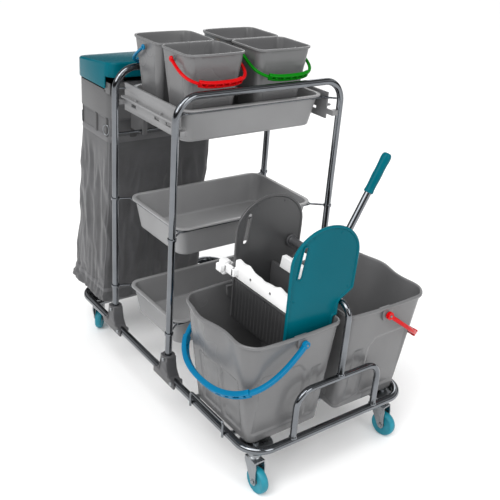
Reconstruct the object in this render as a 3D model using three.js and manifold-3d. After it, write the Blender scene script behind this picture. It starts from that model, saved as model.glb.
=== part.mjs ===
// A janitor's cleaning trolley: chrome tube frame on four swivel casters, three hanging trays,
// four small buckets, two mop buckets with a lever wringer, and a lidded bag holder.
// Millimetres, +Z up. +X is the mop bucket end, -Y the side that bucket 1 stands on.
import * as THREE from "three";
import { mergeVertices } from "three/addons/utils/BufferGeometryUtils.js";
import Module from "manifold-3d";

// ---------------------------------------------------------------- driving dimensions
const gap = 0.3;                  // air left between pieces that touch
const tubeSides = 10;
const wireSides = 6;
const bendStep = Math.PI / 8;     // turn of one facet in a bend

// chassis
const frameLength = 1020;         // base loop, centreline
const frameWidth = 560;           // base loop, centreline
const baseHeight = 151;           // base tube centre above the floor
const baseTube = 22;
const baseCorner = 65;
const supportBar = 14;
const supportBarDrop = 4;         // support bar centre below the base tube centre
const cornerPlateSize = 96;
const cornerPlateThickness = 4;

// mop buckets
const bucketLength = 318;         // along X, over the rim
const bucketWidth = 302;
const bucketRimHeight = 480;
const bucketBottom = 154.5;
const bucketWall = 3;
const bucketRim = 6;
const bucketRimThickness = 9;
const bucketTaperEnd = 26;
const bucketTaperOuter = 40;
const bucketTaperInner = 14;
const bucketOuterCorner = 46;
const bucketFootCorner = 20;       // outer corner radius at the bucket's floor
const bucketInnerCorner = 24;
const bucketBulge = 19;           // how far the long outer side swells past the corners
const bucketBow = 9;              // how far the end walls bow out
const bucketX = frameLength / 2 - 5 - bucketLength / 2;
const bucketInnerClearance = 1.5; // rim to the divider tube
const bucketPivotDrop = 25;
const bucketBailReach = 238;
const bucketBailTube = 11;
const bucketBailAngle = 37;       // how far below level the hanging handle points
const guardStart = bucketX - 111;
const supportBarX = {
  front: frameLength / 2 - 110,
  middle: bucketX - bucketLength / 2 + 28,
  rear: 110 - frameLength / 2,
};

// uprights
const uprightTube = 20;
const uprightHeight = 984;        // centre of the top tube
const uprightBend = 65;
const frontUprightX = supportBarX.middle - 130;
const rearUprightX = frontUprightX - 331;
const clampHeight = 72;           // from the base tube centre to the top of the sleeve
const clampSleeve = 36;
const clampFoot = 116;
const clampWidth = 31;

// mop bucket end
const hoopTube = 18;
const hoopHeight = 302;
const hoopHalfWidth = 146;
const hoopBend = 48;
const dividerHeight = 517;
const dividerBend = 34;
const guardWire = 7;
const guardLength = 160;
const guardHeight = 190;

// trays
const trayLength = 300;           // along X, over the rim
const trayWidth = 490;
const trayDepth = 95;
const trayWall = 3;
const trayRim = 10;               // how far the rim stands out
const trayRimThickness = 5;
const trayTaper = 13;
const trayCorner = 42;
const trayX = frontUprightX - 173;
const trayRimHeight = { top: uprightHeight - 47, middle: uprightHeight - 384, bottom: 302 };
const trayWire = 6;

// top side rails
const railHeight = uprightHeight - 40;
const railDepth = 78;
const railWall = 5;
const railLedge = 17;
const webDrop = 27;               // rail's end webs: foot below the ledge
const webHeight = 15;

// small buckets
const pailLength = 147;           // along X, over the rim
const pailWidth = 190;
const pailHeight = 234;
const pailWall = 2.5;
const pailRim = 4;
const pailRimThickness = 6;
const pailTaperX = 26;
const pailTaperY = 20;
const pailCorner = 24;
const pailSpacingX = 148.2;
const pailSpacingY = 226;
const pailMiddle = { x: -6, y: -24 };     // middle of the four, from the tray's middle
const pailBow = 6;                // how far the end under the handle bows out
const pailPivotDrop = 23;         // pivot below the rim
const pailBailReach = 110;
const pailBailThickness = 5;
const pailBailDepth = 9;

// wringer
const plateThickness = 6;
const plateTop = 747;
const plateBottom = 402;
const plateOuterY = -185;
const plateInnerY = 38;
const plateFrontX = bucketX + bucketLength / 2 - 30;
const plateBackX = bucketX - bucketLength / 2 + 59;
const plateShoulderHeight = 655;  // where the arch starts
const plateNeckHeight = 523;      // where the plate steps in over the divider
const plateNeckY = -12;
const plateLegY = -26;            // inner edge of the legs inside the bucket
const shaftHeight = 600;
const shaftY = 3;
const shaftTube = 22;
const shaftJournal = 14;
const shaftFlange = 36;
const leverTube = 19;
const leverLength = 287;          // shaft surface to the top of the bare tube
const leverLean = 28;             // degrees from upright, away from the basket
const leverX = plateFrontX - 57;
const gripLength = 112;
const gripDiameter = 27;
const basketTop = 528;
const basketBottom = 404;
const basketWall = 4;
const pressThickness = 9;
const pressY = -52;
const beamHeight = 52;
const beamThickness = 17;

// bag holder
const bagRingLength = 218;        // along X
const bagRingWidth = 378;
const bagRingBottom = uprightHeight - 169;
const bagRingTop = uprightHeight - 86;
const bagRingWall = 4;
const bagRingFrontX = rearUprightX - 64;
const bagCentreY = -75;
const lidOverhang = 6;
const lidWall = 3;
const lidFrontTop = uprightHeight + 1;
const lidRearTop = uprightHeight - 24;
const lidSkirt = uprightHeight - 79;
const lidFrontSkirt = uprightHeight - 43;
const lidPinDiameter = 6;
const lidPinHeight = uprightHeight - 38;
const carrierRod = 8;
const carrierRodHeight = uprightHeight - 191;
const bagBottom = 168;
const bagWall = 3;
const bagFoot = {
  rearX: bagRingFrontX - 288,
  frontX: bagRingFrontX - 52,
  nearY: bagCentreY - 187,
  farY: bagCentreY + 179,
};

// casters
const wheelDiameter = 76;
const wheelWidth = 23;
const wheelBore = 9;
const axleDiameter = 8;
const casterTrail = 22;
const casterX = frameLength / 2 - 45;
const casterY = frameWidth / 2 - 45;
const casterCrownTop = 101;
const forkPlate = 3;
const forkInner = 27;             // clear width between the fork cheeks
const kingPin = 10;

// ---------------------------------------------------------------- finishes
const finish = (color, roughness, metalness) =>
  new THREE.MeshStandardMaterial({ color, roughness, metalness });
const chrome = () => finish(0xc9cdd1, 0.12, 1.0);
const zinc = () => finish(0xa9adb0, 0.35, 1.0);
const trayGrey = () => finish(0x969696, 0.42, 0.0);
const bucketGrey = () => finish(0x7b7b7b, 0.4, 0.0);
const darkGrey = () => finish(0x4d4d4e, 0.45, 0.0);
const clampGrey = () => finish(0x5c5c5c, 0.5, 0.0);
const teal = () => finish(0x006875, 0.35, 0.0);
const tyreTeal = () => finish(0x128090, 0.55, 0.0);
const white = () => finish(0xf0f0f0, 0.4, 0.0);
const bagGrey = () => finish(0x575758, 0.9, 0.0);
const red = () => finish(0xf01414, 0.35, 0.0);
const green = () => finish(0x0a8c10, 0.35, 0.0);
const blue = () => finish(0x0a8fdc, 0.35, 0.0);
const yellow = () => finish(0xe8b80c, 0.35, 0.0);

// ---------------------------------------------------------------- solids
const wasm = await Module();
wasm.setup();

// A closed geometry as a manifold solid, turned to face out.
function solid(geometry) {
  const bare = geometry.clone();
  bare.deleteAttribute("normal");
  bare.deleteAttribute("uv");
  const merged = mergeVertices(bare, 1e-4);
  return new wasm.Manifold(
    new wasm.Mesh({
      numProp: 3,
      vertProperties: merged.attributes.position.array,
      triVerts: new Uint32Array(merged.index.array),
    }),
  );
}

function geometryOf(body) {
  const mesh = body.getMesh();
  const geometry = new THREE.BufferGeometry();
  geometry.setAttribute("position", new THREE.BufferAttribute(mesh.vertProperties, 3));
  geometry.setIndex(new THREE.BufferAttribute(mesh.triVerts, 1));
  const flat = geometry.toNonIndexed();
  flat.computeVertexNormals();
  return flat;
}

// The first geometry with the others joined to it.
function join(first, ...others) {
  return geometryOf(others.reduce((body, next) => body.add(solid(next)), solid(first)));
}

// The first geometry with the others cut out of it.
function cut(first, ...tools) {
  return geometryOf(tools.reduce((body, next) => body.subtract(solid(next)), solid(first)));
}

// The width across corners of a faceted bore that a rod of the given diameter clears all round.
const boreFor = (diameter) => (diameter + 2 * gap) / Math.cos(Math.PI / tubeSides);

function box(lowX, highX, lowY, highY, lowZ, highZ) {
  const geometry = new THREE.BoxGeometry(highX - lowX, highY - lowY, highZ - lowZ);
  return geometry.translate((lowX + highX) / 2, (lowY + highY) / 2, (lowZ + highZ) / 2);
}

// A cylinder along the named axis, from its low end to its high end.
function rod(axis, diameter, low, high, [a, b], sides = tubeSides) {
  const geometry = new THREE.CylinderGeometry(diameter / 2, diameter / 2, high - low, sides);
  const middle = (low + high) / 2;
  if (axis === "x") return geometry.rotateZ(-Math.PI / 2).translate(middle, a, b);
  if (axis === "y") return geometry.translate(a, middle, b);
  return geometry.rotateX(Math.PI / 2).translate(a, b, middle);
}

// An outline in the XZ plane given as [x, z] pairs, thickened along Y from lowY to highY.
function slabXZ(outline, lowY, highY) {
  const shape = new THREE.Shape(outline.map(([x, z]) => new THREE.Vector2(x, z)));
  const geometry = new THREE.ExtrudeGeometry(shape, { depth: highY - lowY, bevelEnabled: false });
  return geometry.rotateX(Math.PI / 2).translate(0, highY, 0);
}

// A shape drawn in the YZ plane, thickened along X from lowX to highX.
function slabYZ(shape, lowX, highX, curveSegments = 12) {
  const options = { depth: highX - lowX, bevelEnabled: false, curveSegments };
  const geometry = new THREE.ExtrudeGeometry(shape, options);
  const toYZ = new THREE.Matrix4().set(0, 0, 1, lowX, 1, 0, 0, 0, 0, 1, 0, 0, 0, 0, 0, 1);
  return geometry.applyMatrix4(toYZ);
}

const shapeOf = (pairs) => new THREE.Shape(pairs.map(([a, b]) => new THREE.Vector2(a, b)));

// ---------------------------------------------------------------- bent tubes
// A path through hand-placed vertices. It is sampled only at them, so straight runs stay one facet long.
class VertexPath extends THREE.Curve {
  constructor(vertices, closed = false) {
    super();
    this.vertices = vertices;
    this.closed = closed;
    this.spans = closed ? vertices.length : vertices.length - 1;
  }

  vertex(index) {
    const count = this.vertices.length;
    return this.vertices[((index % count) + count) % count];
  }

  getPoint(t) {
    return this.vertex(Math.round(t * this.spans)).clone();
  }

  getPointAt(u) {
    return this.getPoint(u);
  }

  getTangent(t) {
    const index = Math.round(t * this.spans);
    const last = this.vertices.length - 1;
    const before = this.closed || index > 0 ? this.vertex(index - 1) : this.vertex(index);
    const after = this.closed || index < last ? this.vertex(index + 1) : this.vertex(index);
    const here = this.vertex(index);
    const arriving = here.clone().sub(before).normalize();
    const leaving = after.clone().sub(here).normalize();
    return arriving.add(leaving).normalize();
  }

  getTangentAt(u) {
    return this.getTangent(u);
  }
}

// The vertices of a route with its inner corners rounded to the bend radius.
function roundCorners(route, radius, closed = false) {
  const points = route.map(([x, y, z]) => new THREE.Vector3(x, y, z));
  const count = points.length;
  return points.flatMap((corner, index) => {
    if (!closed && (index === 0 || index === count - 1)) return [corner];
    return arcAt(points[(index + count - 1) % count], corner, points[(index + 1) % count], radius);
  });
}

function arcAt(before, corner, after, radius) {
  const toBefore = before.clone().sub(corner).normalize();
  const toAfter = after.clone().sub(corner).normalize();
  const inside = toBefore.angleTo(toAfter);
  const turn = Math.PI - inside;
  const bisector = toBefore.clone().add(toAfter).normalize();
  const centre = corner.clone().addScaledVector(bisector, radius / Math.sin(inside / 2));
  const start = corner.clone().addScaledVector(toBefore, radius / Math.tan(inside / 2)).sub(centre);
  const axis = new THREE.Vector3().crossVectors(toBefore, toAfter).normalize().negate();
  const steps = Math.max(2, Math.round(turn / bendStep));
  const turned = (step) => start.clone().applyAxisAngle(axis, (turn * step) / steps).add(centre);
  return Array.from({ length: steps + 1 }, (_, step) => turned(step));
}

function roundSection(width, height, sides) {
  const corner = (index) => {
    const angle = ((index + 0.5) / sides) * 2 * Math.PI;
    return [(width / 2) * Math.cos(angle), (height / 2) * Math.sin(angle)];
  };
  return shapeOf(Array.from({ length: sides }, (_, index) => corner(index)));
}

function sweep(vertices, section) {
  const path = new VertexPath(vertices);
  const options = { steps: path.spans, extrudePath: path, bevelEnabled: false };
  return new THREE.ExtrudeGeometry(section, options);
}

function bentTube(route, radius, diameter, sides = tubeSides) {
  return sweep(roundCorners(route, radius), roundSection(diameter, diameter, sides));
}

// ---------------------------------------------------------------- lofted shells
// A closed body skinned over rings of equal length. Open ends are capped unless the last ring meets the first.
function loft(rings, endless = false) {
  const size = rings[0].length;
  const vertices = rings.flat();
  const faces = [];
  const bands = endless ? rings.length : rings.length - 1;
  for (let band = 0; band < bands; band++) {
    const low = band * size;
    const high = ((band + 1) % rings.length) * size;
    for (let i = 0; i < size; i++) {
      const next = (i + 1) % size;
      faces.push(low + i, low + next, high + next, low + i, high + next, high + i);
    }
  }
  if (!endless) {
    capRing(rings[0], 0, true, vertices, faces);
    capRing(rings[rings.length - 1], (rings.length - 1) * size, false, vertices, faces);
  }
  return facingOut(vertices, faces);
}

function capRing(ring, offset, reversed, vertices, faces) {
  const centre = ring.reduce((sum, point) => sum.add(point), new THREE.Vector3());
  const hub = vertices.push(centre.divideScalar(ring.length)) - 1;
  ring.forEach((_, i) => {
    const next = offset + ((i + 1) % ring.length);
    faces.push(hub, reversed ? next : offset + i, reversed ? offset + i : next);
  });
}

// The faces as a geometry, with every face turned over if the body came out inside out.
function facingOut(vertices, faces) {
  let volume = 0;
  for (let i = 0; i < faces.length; i += 3) {
    const [a, b, c] = [vertices[faces[i]], vertices[faces[i + 1]], vertices[faces[i + 2]]];
    volume += a.dot(b.clone().cross(c));
  }
  const ordered = volume > 0 ? faces : faces.slice().reverse();
  const geometry = new THREE.BufferGeometry().setFromPoints(vertices);
  geometry.setIndex(ordered);
  const flat = geometry.toNonIndexed();
  flat.computeVertexNormals();
  return flat;
}

// A rounded rectangle at one height. The corners on its high Y side may have a radius of their own.
// sideSteps splits the low Y side and endSteps the ends, for outlines that swell.
function roundedRing(lowX, highX, lowY, highY, corner, z, sideSteps = 1, endSteps = 1, highCorner = corner) {
  const cornerSteps = 3;
  const centres = [
    [highX - highCorner, highY - highCorner, highCorner],
    [lowX + highCorner, highY - highCorner, highCorner],
    [lowX + corner, lowY + corner, corner],
    [highX - corner, lowY + corner, corner],
  ];
  const splits = [1, endSteps, sideSteps, endSteps];
  const arcs = centres.map(([x, y, radius], quarter) =>
    Array.from({ length: cornerSteps + 1 }, (_, step) => {
      const angle = (quarter + step / cornerSteps) * (Math.PI / 2);
      return new THREE.Vector3(x + radius * Math.cos(angle), y + radius * Math.sin(angle), z);
    }),
  );
  return arcs.flatMap((arc, quarter) => {
    const from = arc[cornerSteps];
    const to = arcs[(quarter + 1) % 4][0];
    const along = Array.from({ length: splits[quarter] - 1 }, (_, step) =>
      from.clone().lerp(to, (step + 1) / splits[quarter]),
    );
    return [...arc, ...along];
  });
}

// ---------------------------------------------------------------- chassis
const tubeTop = baseHeight + baseTube / 2;
const halfLength = frameLength / 2;
const halfWidth = frameWidth / 2;

const legSigns = [[1, 1], [1, -1], [-1, 1], [-1, -1]];

function cornerPlate(signX, signY) {
  const low = baseHeight - baseTube / 2 + 1;
  const reachX = [signX * (halfLength - cornerPlateSize), signX * (halfLength - 3)].sort((a, b) => a - b);
  const reachY = [signY * (halfWidth - cornerPlateSize), signY * (halfWidth - 3)].sort((a, b) => a - b);
  const ring = (z) => roundedRing(...reachX, ...reachY, Math.min(baseCorner - 20, cornerPlateSize / 2 - 2), z);
  return loft([ring(low), ring(low + cornerPlateThickness)]);
}

function baseLoop() {
  const route = [
    [halfLength, halfWidth, baseHeight],
    [-halfLength, halfWidth, baseHeight],
    [-halfLength, -halfWidth, baseHeight],
    [halfLength, -halfWidth, baseHeight],
  ];
  const path = new VertexPath(roundCorners(route, baseCorner, true), true);
  const loop = new THREE.TubeGeometry(path, path.spans, baseTube / 2, tubeSides, true);
  const plates = legSigns.map(([x, y]) => cornerPlate(x, y));
  const low = baseHeight - baseTube;
  const holes = casterPlaces().map(({ x, y }) => rod("z", boreFor(kingPin), low, tubeTop, [x, y]));
  return cut(join(loop, ...plates), ...holes);
}

function supportBarAt(x) {
  const reach = halfWidth - baseTube / 2 - gap;
  return rod("y", supportBar, -reach, reach, [x, baseHeight - supportBarDrop]);
}

function endHoop() {
  const foot = tubeTop + gap;
  const route = [
    [halfLength, -hoopHalfWidth, foot],
    [halfLength, -hoopHalfWidth, hoopHeight],
    [halfLength, hoopHalfWidth, hoopHeight],
    [halfLength, hoopHalfWidth, foot],
  ];
  return bentTube(route, hoopBend, hoopTube);
}

function dividerHoop() {
  const rearX = supportBarX.middle;
  const route = [
    [halfLength, 0, hoopHeight + hoopTube / 2 + gap],
    [halfLength, 0, dividerHeight],
    [rearX, 0, dividerHeight],
    [rearX, 0, baseHeight - supportBarDrop + supportBar / 2 + gap],
  ];
  return bentTube(route, dividerBend, hoopTube);
}

function guardRail(side) {
  const y = side * (halfWidth + baseTube / 2 + guardWire / 2 + gap);
  const foot = baseHeight - 8;
  const route = [
    [guardStart, y, foot],
    [guardStart, y, guardHeight],
    [guardStart + guardLength, y, guardHeight],
    [guardStart + guardLength, y, foot],
  ];
  return bentTube(route, 8, guardWire, wireSides);
}

// ---------------------------------------------------------------- uprights and their clamps
function upright(x) {
  const foot = tubeTop + gap;
  const route = [
    [x, -halfWidth, foot],
    [x, -halfWidth, uprightHeight],
    [x, halfWidth, uprightHeight],
    [x, halfWidth, foot],
  ];
  return bentTube(route, uprightBend, uprightTube);
}

// How far out a leg's centre stands at a height: it curves in above the start of its bend.
function legY(z) {
  const rise = Math.max(0, z - (uprightHeight - uprightBend));
  return halfWidth - uprightBend + Math.sqrt(uprightBend ** 2 - rise ** 2);
}

// A moulded foot: a sleeve round the leg and a saddle over the base tube, with two webs and bolt bosses.
function legClamp(x, side) {
  const top = baseHeight + clampHeight;
  const half = clampSleeve / 2;
  const bottom = baseHeight - baseTube / 2 - 2;
  const outline = [
    [x - clampFoot / 2, bottom],
    [x + clampFoot / 2, bottom],
    [x + clampFoot / 2, baseHeight + 5],
    [x + half + 16, baseHeight + 14],
    [x + half + 3, baseHeight + clampHeight * 0.5],
    [x + half, top],
    [x - half, top],
    [x - half - 3, baseHeight + clampHeight * 0.5],
    [x - half - 16, baseHeight + 14],
    [x - clampFoot / 2, baseHeight + 5],
  ];
  const y = side * halfWidth;
  const body = slabXZ(outline, y - clampWidth / 2, y + clampWidth / 2);
  const boltLength = clampWidth / 2 + 4;
  const bolt = (boltX, z) => rod("y", 9, y - boltLength, y + boltLength, [boltX, z], wireSides);
  const bosses = [bolt(x, top - 12), bolt(x + clampFoot / 2 - 13, baseHeight + 1)];
  const legBore = rod("z", boreFor(uprightTube), baseHeight, top + 1, [x, y]);
  const tubeBore = rod("x", boreFor(baseTube), x - clampFoot, x + clampFoot, [y, baseHeight]);
  const slotHalf = baseTube / 2 - 2;
  const mouth = box(x - clampFoot, x + clampFoot, y - slotHalf, y + slotHalf, bottom - 1, baseHeight);
  return cut(join(body, ...bosses), legBore, tubeBore, mouth);
}

// ---------------------------------------------------------------- trays
// A tapered tub with a flat rim that stands out. Sizes are over the rim.
// A bow other than 0 swells the end on that side, most at the rim.
function tub({ x, y, length, width, rimZ, depth, wall, rim, rimThickness, taperX, taperY, corner, bow = 0 }) {
  const bowed = (point, share) => {
    const across = (2 * (point.y - y)) / width;
    const outward = bow * share * Math.max(0, 1 - across * across);
    return point.clone().setX(point.x + (bow * (point.x - x) > 0 ? outward : 0));
  };
  const ring = (inset, insetX, insetY, z) =>
    roundedRing(
      x - length / 2 + inset + insetX,
      x + length / 2 - inset - insetX,
      y - width / 2 + inset + insetY,
      y + width / 2 - inset - insetY,
      Math.max(corner - inset - 2, 6),
      z,
      1,
      bow ? 4 : 1,
    ).map((point) => bowed(point, 1 - insetX / taperX));
  const bottom = rimZ - depth;
  return loft([
    ring(rim + wall, taperX, taperY, bottom + wall),
    ring(rim + wall, 0, 0, rimZ),
    ring(0, 0, 0, rimZ),
    ring(0, 0, 0, rimZ - rimThickness),
    ring(rim, 0, 0, rimZ - rimThickness),
    ring(rim, taperX, taperY, bottom),
  ]);
}

const traySizes = {
  x: trayX,
  y: 0,
  length: trayLength,
  width: trayWidth,
  depth: trayDepth,
  wall: trayWall,
  rim: trayRim,
  rimThickness: trayRimThickness,
  taperX: trayTaper,
  taperY: trayTaper,
  corner: trayCorner,
};

// The wire frame that a tray hangs in: a rectangle under its rim, with an arm out to each leg.
const wireX = trayLength / 2 - trayRim + trayWire / 2 + gap;
const wireY = trayWidth / 2 - trayRim + trayWire / 2 + gap;
const wireZ = (rimZ) => rimZ - trayRimThickness - trayWire / 2 - gap;

function trayArm(end, side, z, diameter) {
  const corner = new THREE.Vector3(trayX + end * wireX, side * wireY, z);
  const leg = new THREE.Vector3(end > 0 ? frontUprightX : rearUprightX, side * legY(z), z);
  const reach = leg.distanceTo(corner) - uprightTube / 2 - 6 * gap;
  const tip = corner.clone().lerp(leg, reach / leg.distanceTo(corner));
  return sweep([corner, tip], roundSection(diameter, diameter, wireSides));
}

function trayWires(rimZ) {
  const z = wireZ(rimZ);
  const half = trayWire / 2;
  const across = (end) => rod("y", trayWire, -wireY - half, wireY + half, [trayX + end * wireX, z], wireSides);
  const along = (side) =>
    rod("x", trayWire, trayX - wireX - half, trayX + wireX + half, [side * wireY, z], wireSides);
  const arms = legSigns.map(([end, side]) => trayArm(end, side, z, trayWire));
  return join(across(1), across(-1), along(1), along(-1), ...arms);
}

// ---------------------------------------------------------------- top side rails
function topRail(side) {
  const y = side * (trayWidth / 2 + 4);
  const out = side;
  const low = railHeight - railDepth;
  const ledgeZ = railHeight - 36;
  const profile = shapeOf([
    [y, low],
    [y + out * railWall, low],
    [y + out * railWall, ledgeZ - 5],
    [y + out * railLedge, ledgeZ - 5],
    [y + out * railLedge, ledgeZ],
    [y + out * railWall, ledgeZ],
    [y + out * railWall, railHeight],
    [y, railHeight],
  ]);
  const ends = [trayX - trayLength / 2, trayX + trayLength / 2];
  const beam = slabYZ(profile, ...ends);
  const nub = (x) => rod("z", 8, ledgeZ - 3, ledgeZ + 5, [x, y + out * 11], wireSides);
  const slot = (x) => box(x, x + 26, y - 20, y + 20, ledgeZ - 24, ledgeZ - 15);
  const leg = (x) => rod("z", boreFor(uprightTube) + 2, low - 5, railHeight + 5, [x, side * halfWidth]);
  const blockY = [y, side * (halfWidth - uprightTube / 2 + 3)].sort((a, b) => a - b);
  const block = (x) => box(x - 7, x + 7, ...blockY, ledgeZ - webDrop, ledgeZ - webDrop + webHeight);
  const webY = [y, y + out * railWall].sort((a, b) => a - b);
  const web = (x, end) => {
    const fromBeam = end + Math.sign(trayX - end) * 8;
    const [low, high] = [fromBeam, x + Math.sign(end - trayX) * 8].sort((a, b) => a - b);
    return box(low, high, ...webY, ledgeZ - webDrop, ledgeZ - webDrop + webHeight);
  };
  const webs = [web(rearUprightX, ends[0]), web(frontUprightX, ends[1])];
  const uprights = [rearUprightX, frontUprightX];
  const nubs = [trayX - 73, trayX + 63].map(nub);
  const slots = [trayX - 110, trayX + 20, trayX + 80].map(slot);
  const wires = [1, -1].map((end) => trayArm(end, side, wireZ(trayRimHeight.top), trayWire + 6 * gap));
  const body = join(beam, ...nubs, ...webs, ...uprights.map(block));
  return cut(body, ...slots, ...uprights.map(leg), ...wires);
}

// ---------------------------------------------------------------- small buckets
const pailRimHeight = trayRimHeight.top - trayDepth + trayWall + gap + pailHeight;
const pailPivotHeight = pailRimHeight - pailPivotDrop;
const pailEyeInner = pailWidth / 2 + 1;        // inner face of the handle's eye, from the bucket's middle
const pailStub = 6.4;

function pail(x, y, side) {
  const shell = tub({
    x,
    y,
    length: pailLength,
    width: pailWidth,
    rimZ: pailRimHeight,
    depth: pailHeight,
    wall: pailWall,
    rim: pailRim,
    rimThickness: pailRimThickness,
    taperX: pailTaperX,
    taperY: pailTaperY,
    corner: pailCorner,
    bow: side * pailBow,
  });
  const wallY = pailWidth / 2 - pailRim - pailTaperY * (pailPivotDrop / pailHeight) - pailWall / 2;
  const knobs = [-1, 1].flatMap((side) => {
    const stretch = (from, to) => (side > 0 ? [y + from, y + to] : [y - to, y - from]);
    const boss = rod("y", 15, ...stretch(wallY, pailEyeInner - gap), [x, pailPivotHeight]);
    const stub = rod("y", pailStub, ...stretch(wallY, pailEyeInner + pailBailThickness), [x, pailPivotHeight]);
    return [boss, stub];
  });
  return join(shell, ...knobs);
}

// A handle lying in the XY plane: eyes on the Y axis, the grip out along +X. Its arms swell outwards
// so that they pass the corners of the rim as it is lifted.
function bail({ halfSpan, reach, squareness, swelling, depth, thickness, eye, stub, points }) {
  const place = (step) => {
    const angle = (step / points) * Math.PI;
    const across = Math.sign(Math.cos(angle)) * Math.abs(Math.cos(angle)) ** squareness;
    const y = halfSpan * across + swelling * Math.sin(2 * angle);
    return new THREE.Vector3(reach * Math.sin(angle) ** squareness, y, 0);
  };
  const vertices = Array.from({ length: points + 1 }, (_, step) => place(step));
  const bow = sweep(vertices, roundSection(thickness, depth, wireSides));
  const eyes = [-1, 1].map((side) => {
    const middle = side * halfSpan;
    return rod("y", eye, middle - depth / 2, middle + depth / 2, [0, 0]);
  });
  const bore = rod("y", boreFor(stub), -halfSpan * 2, halfSpan * 2, [0, 0]);
  return cut(join(bow, ...eyes), bore);
}

// How far below level the handle's arms point when they lean on an upright's top tube.
function leanOn(uprightX, pivotX) {
  const away = Math.abs(uprightX - pivotX);
  const above = pailPivotHeight - uprightHeight;
  const apart = (uprightTube + pailBailDepth) / 2 + gap;
  return Math.acos(apart / Math.hypot(away, above)) - Math.atan2(away, above);
}

function pailBail() {
  return bail({
    halfSpan: pailEyeInner + pailBailThickness / 2,
    reach: pailBailReach,
    squareness: 0.66,
    swelling: 6,
    depth: pailBailThickness,
    thickness: pailBailDepth,
    eye: 15,
    stub: pailStub,
    points: 12,
  });
}

// ---------------------------------------------------------------- mop buckets
// One ring of the bucket that stands on the -Y side. inset moves the outline in; low is 0 at the rim, 1 at the floor.
function bucketRing(inset, low, z) {
  const innerY = -(hoopTube / 2 + bucketInnerClearance);
  const ends = inset + low * bucketTaperEnd;
  const ring = roundedRing(
    bucketX - bucketLength / 2 + ends,
    bucketX + bucketLength / 2 - ends,
    innerY - bucketWidth + inset + low * bucketTaperOuter,
    innerY - inset - low * bucketTaperInner,
    Math.max(bucketOuterCorner - inset - low * (bucketOuterCorner - bucketRim - bucketFootCorner), 8),
    z,
    8,
    2,
    bucketInnerCorner - inset,
  );
  return ring.map((point) => swell(point, innerY - bucketWidth / 2, low));
}

// The long outer side swells behind the middle and more gently at the front corner; the ends bow a little.
function swell(point, middleY, low) {
  const along = (point.x - bucketX) / (bucketLength / 2);
  const across = (point.y - middleY) / (bucketWidth / 2);
  const crest = Math.exp(-(((along + 0.26) / 0.34) ** 2)) + 0.3 * Math.exp(-(((along - 0.64) / 0.2) ** 2));
  const outward = Math.max(0, -across) ** 3;
  const moved = point.clone();
  moved.y -= bucketBulge * crest * outward * (1 - low);
  moved.x += Math.sign(along) * Math.abs(along) ** 5 * bucketBow * Math.max(0, 1 - across * across);
  return moved;
}

const bucketDepth = bucketRimHeight - bucketBottom;
const bucketPivotHeight = bucketRimHeight - bucketPivotDrop;
const bucketPivotY = -(hoopTube / 2 + bucketInnerClearance + bucketWidth / 2) + 14;
const bucketEyeInner = bucketLength / 2 + bucketBow + 1;
const bucketStub = 7.4;

function mopBucket(side) {
  const shell = loft([
    bucketRing(bucketRim + bucketWall, 1, bucketBottom + bucketWall),
    bucketRing(bucketRim + bucketWall, 0, bucketRimHeight),
    bucketRing(0, 0, bucketRimHeight),
    bucketRing(0, 0, bucketRimHeight - bucketRimThickness),
    bucketRing(bucketRim, 0, bucketRimHeight - bucketRimThickness),
    bucketRing(bucketRim, 1, bucketBottom),
  ]);
  const wallX = bucketLength / 2 - bucketRim - bucketTaperEnd * (bucketPivotDrop / bucketDepth);
  const knobs = [-1, 1].flatMap((end) => {
    const stretch = (from, to) =>
      end > 0 ? [bucketX + from, bucketX + to] : [bucketX - to, bucketX - from];
    const place = [bucketPivotY, bucketPivotHeight];
    const boss = rod("x", 26, ...stretch(wallX, bucketEyeInner - gap), place);
    const stub = rod("x", bucketStub, ...stretch(wallX, bucketEyeInner + bucketBailTube), place);
    return [boss, stub];
  });
  const near = join(shell, ...knobs);
  return side < 0 ? near : mirroredY(near);
}

// The geometry's mirror image across the XZ plane, still facing out.
function mirroredY(geometry) {
  const turned = geometry.index ? geometry.toNonIndexed() : geometry.clone();
  turned.deleteAttribute("normal");
  turned.deleteAttribute("uv");
  turned.scale(1, -1, 1);
  const position = turned.attributes.position;
  for (let i = 0; i < position.count; i += 3) {
    const kept = new THREE.Vector3().fromBufferAttribute(position, i + 1);
    const other = new THREE.Vector3().fromBufferAttribute(position, i + 2);
    position.setXYZ(i + 1, other.x, other.y, other.z);
    position.setXYZ(i + 2, kept.x, kept.y, kept.z);
  }
  turned.computeVertexNormals();
  return turned;
}

function bucketBail() {
  return bail({
    halfSpan: bucketEyeInner + bucketBailTube / 2,
    reach: bucketBailReach,
    squareness: 0.85,
    swelling: 22,
    depth: bucketBailTube - 1,
    thickness: bucketBailTube + 3,
    eye: 22,
    stub: bucketStub,
    points: 16,
  });
}

// ---------------------------------------------------------------- wringer
const plateMiddleY = (plateOuterY + plateInnerY) / 2;
const plateHalfWidth = (plateInnerY - plateOuterY) / 2;

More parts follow.
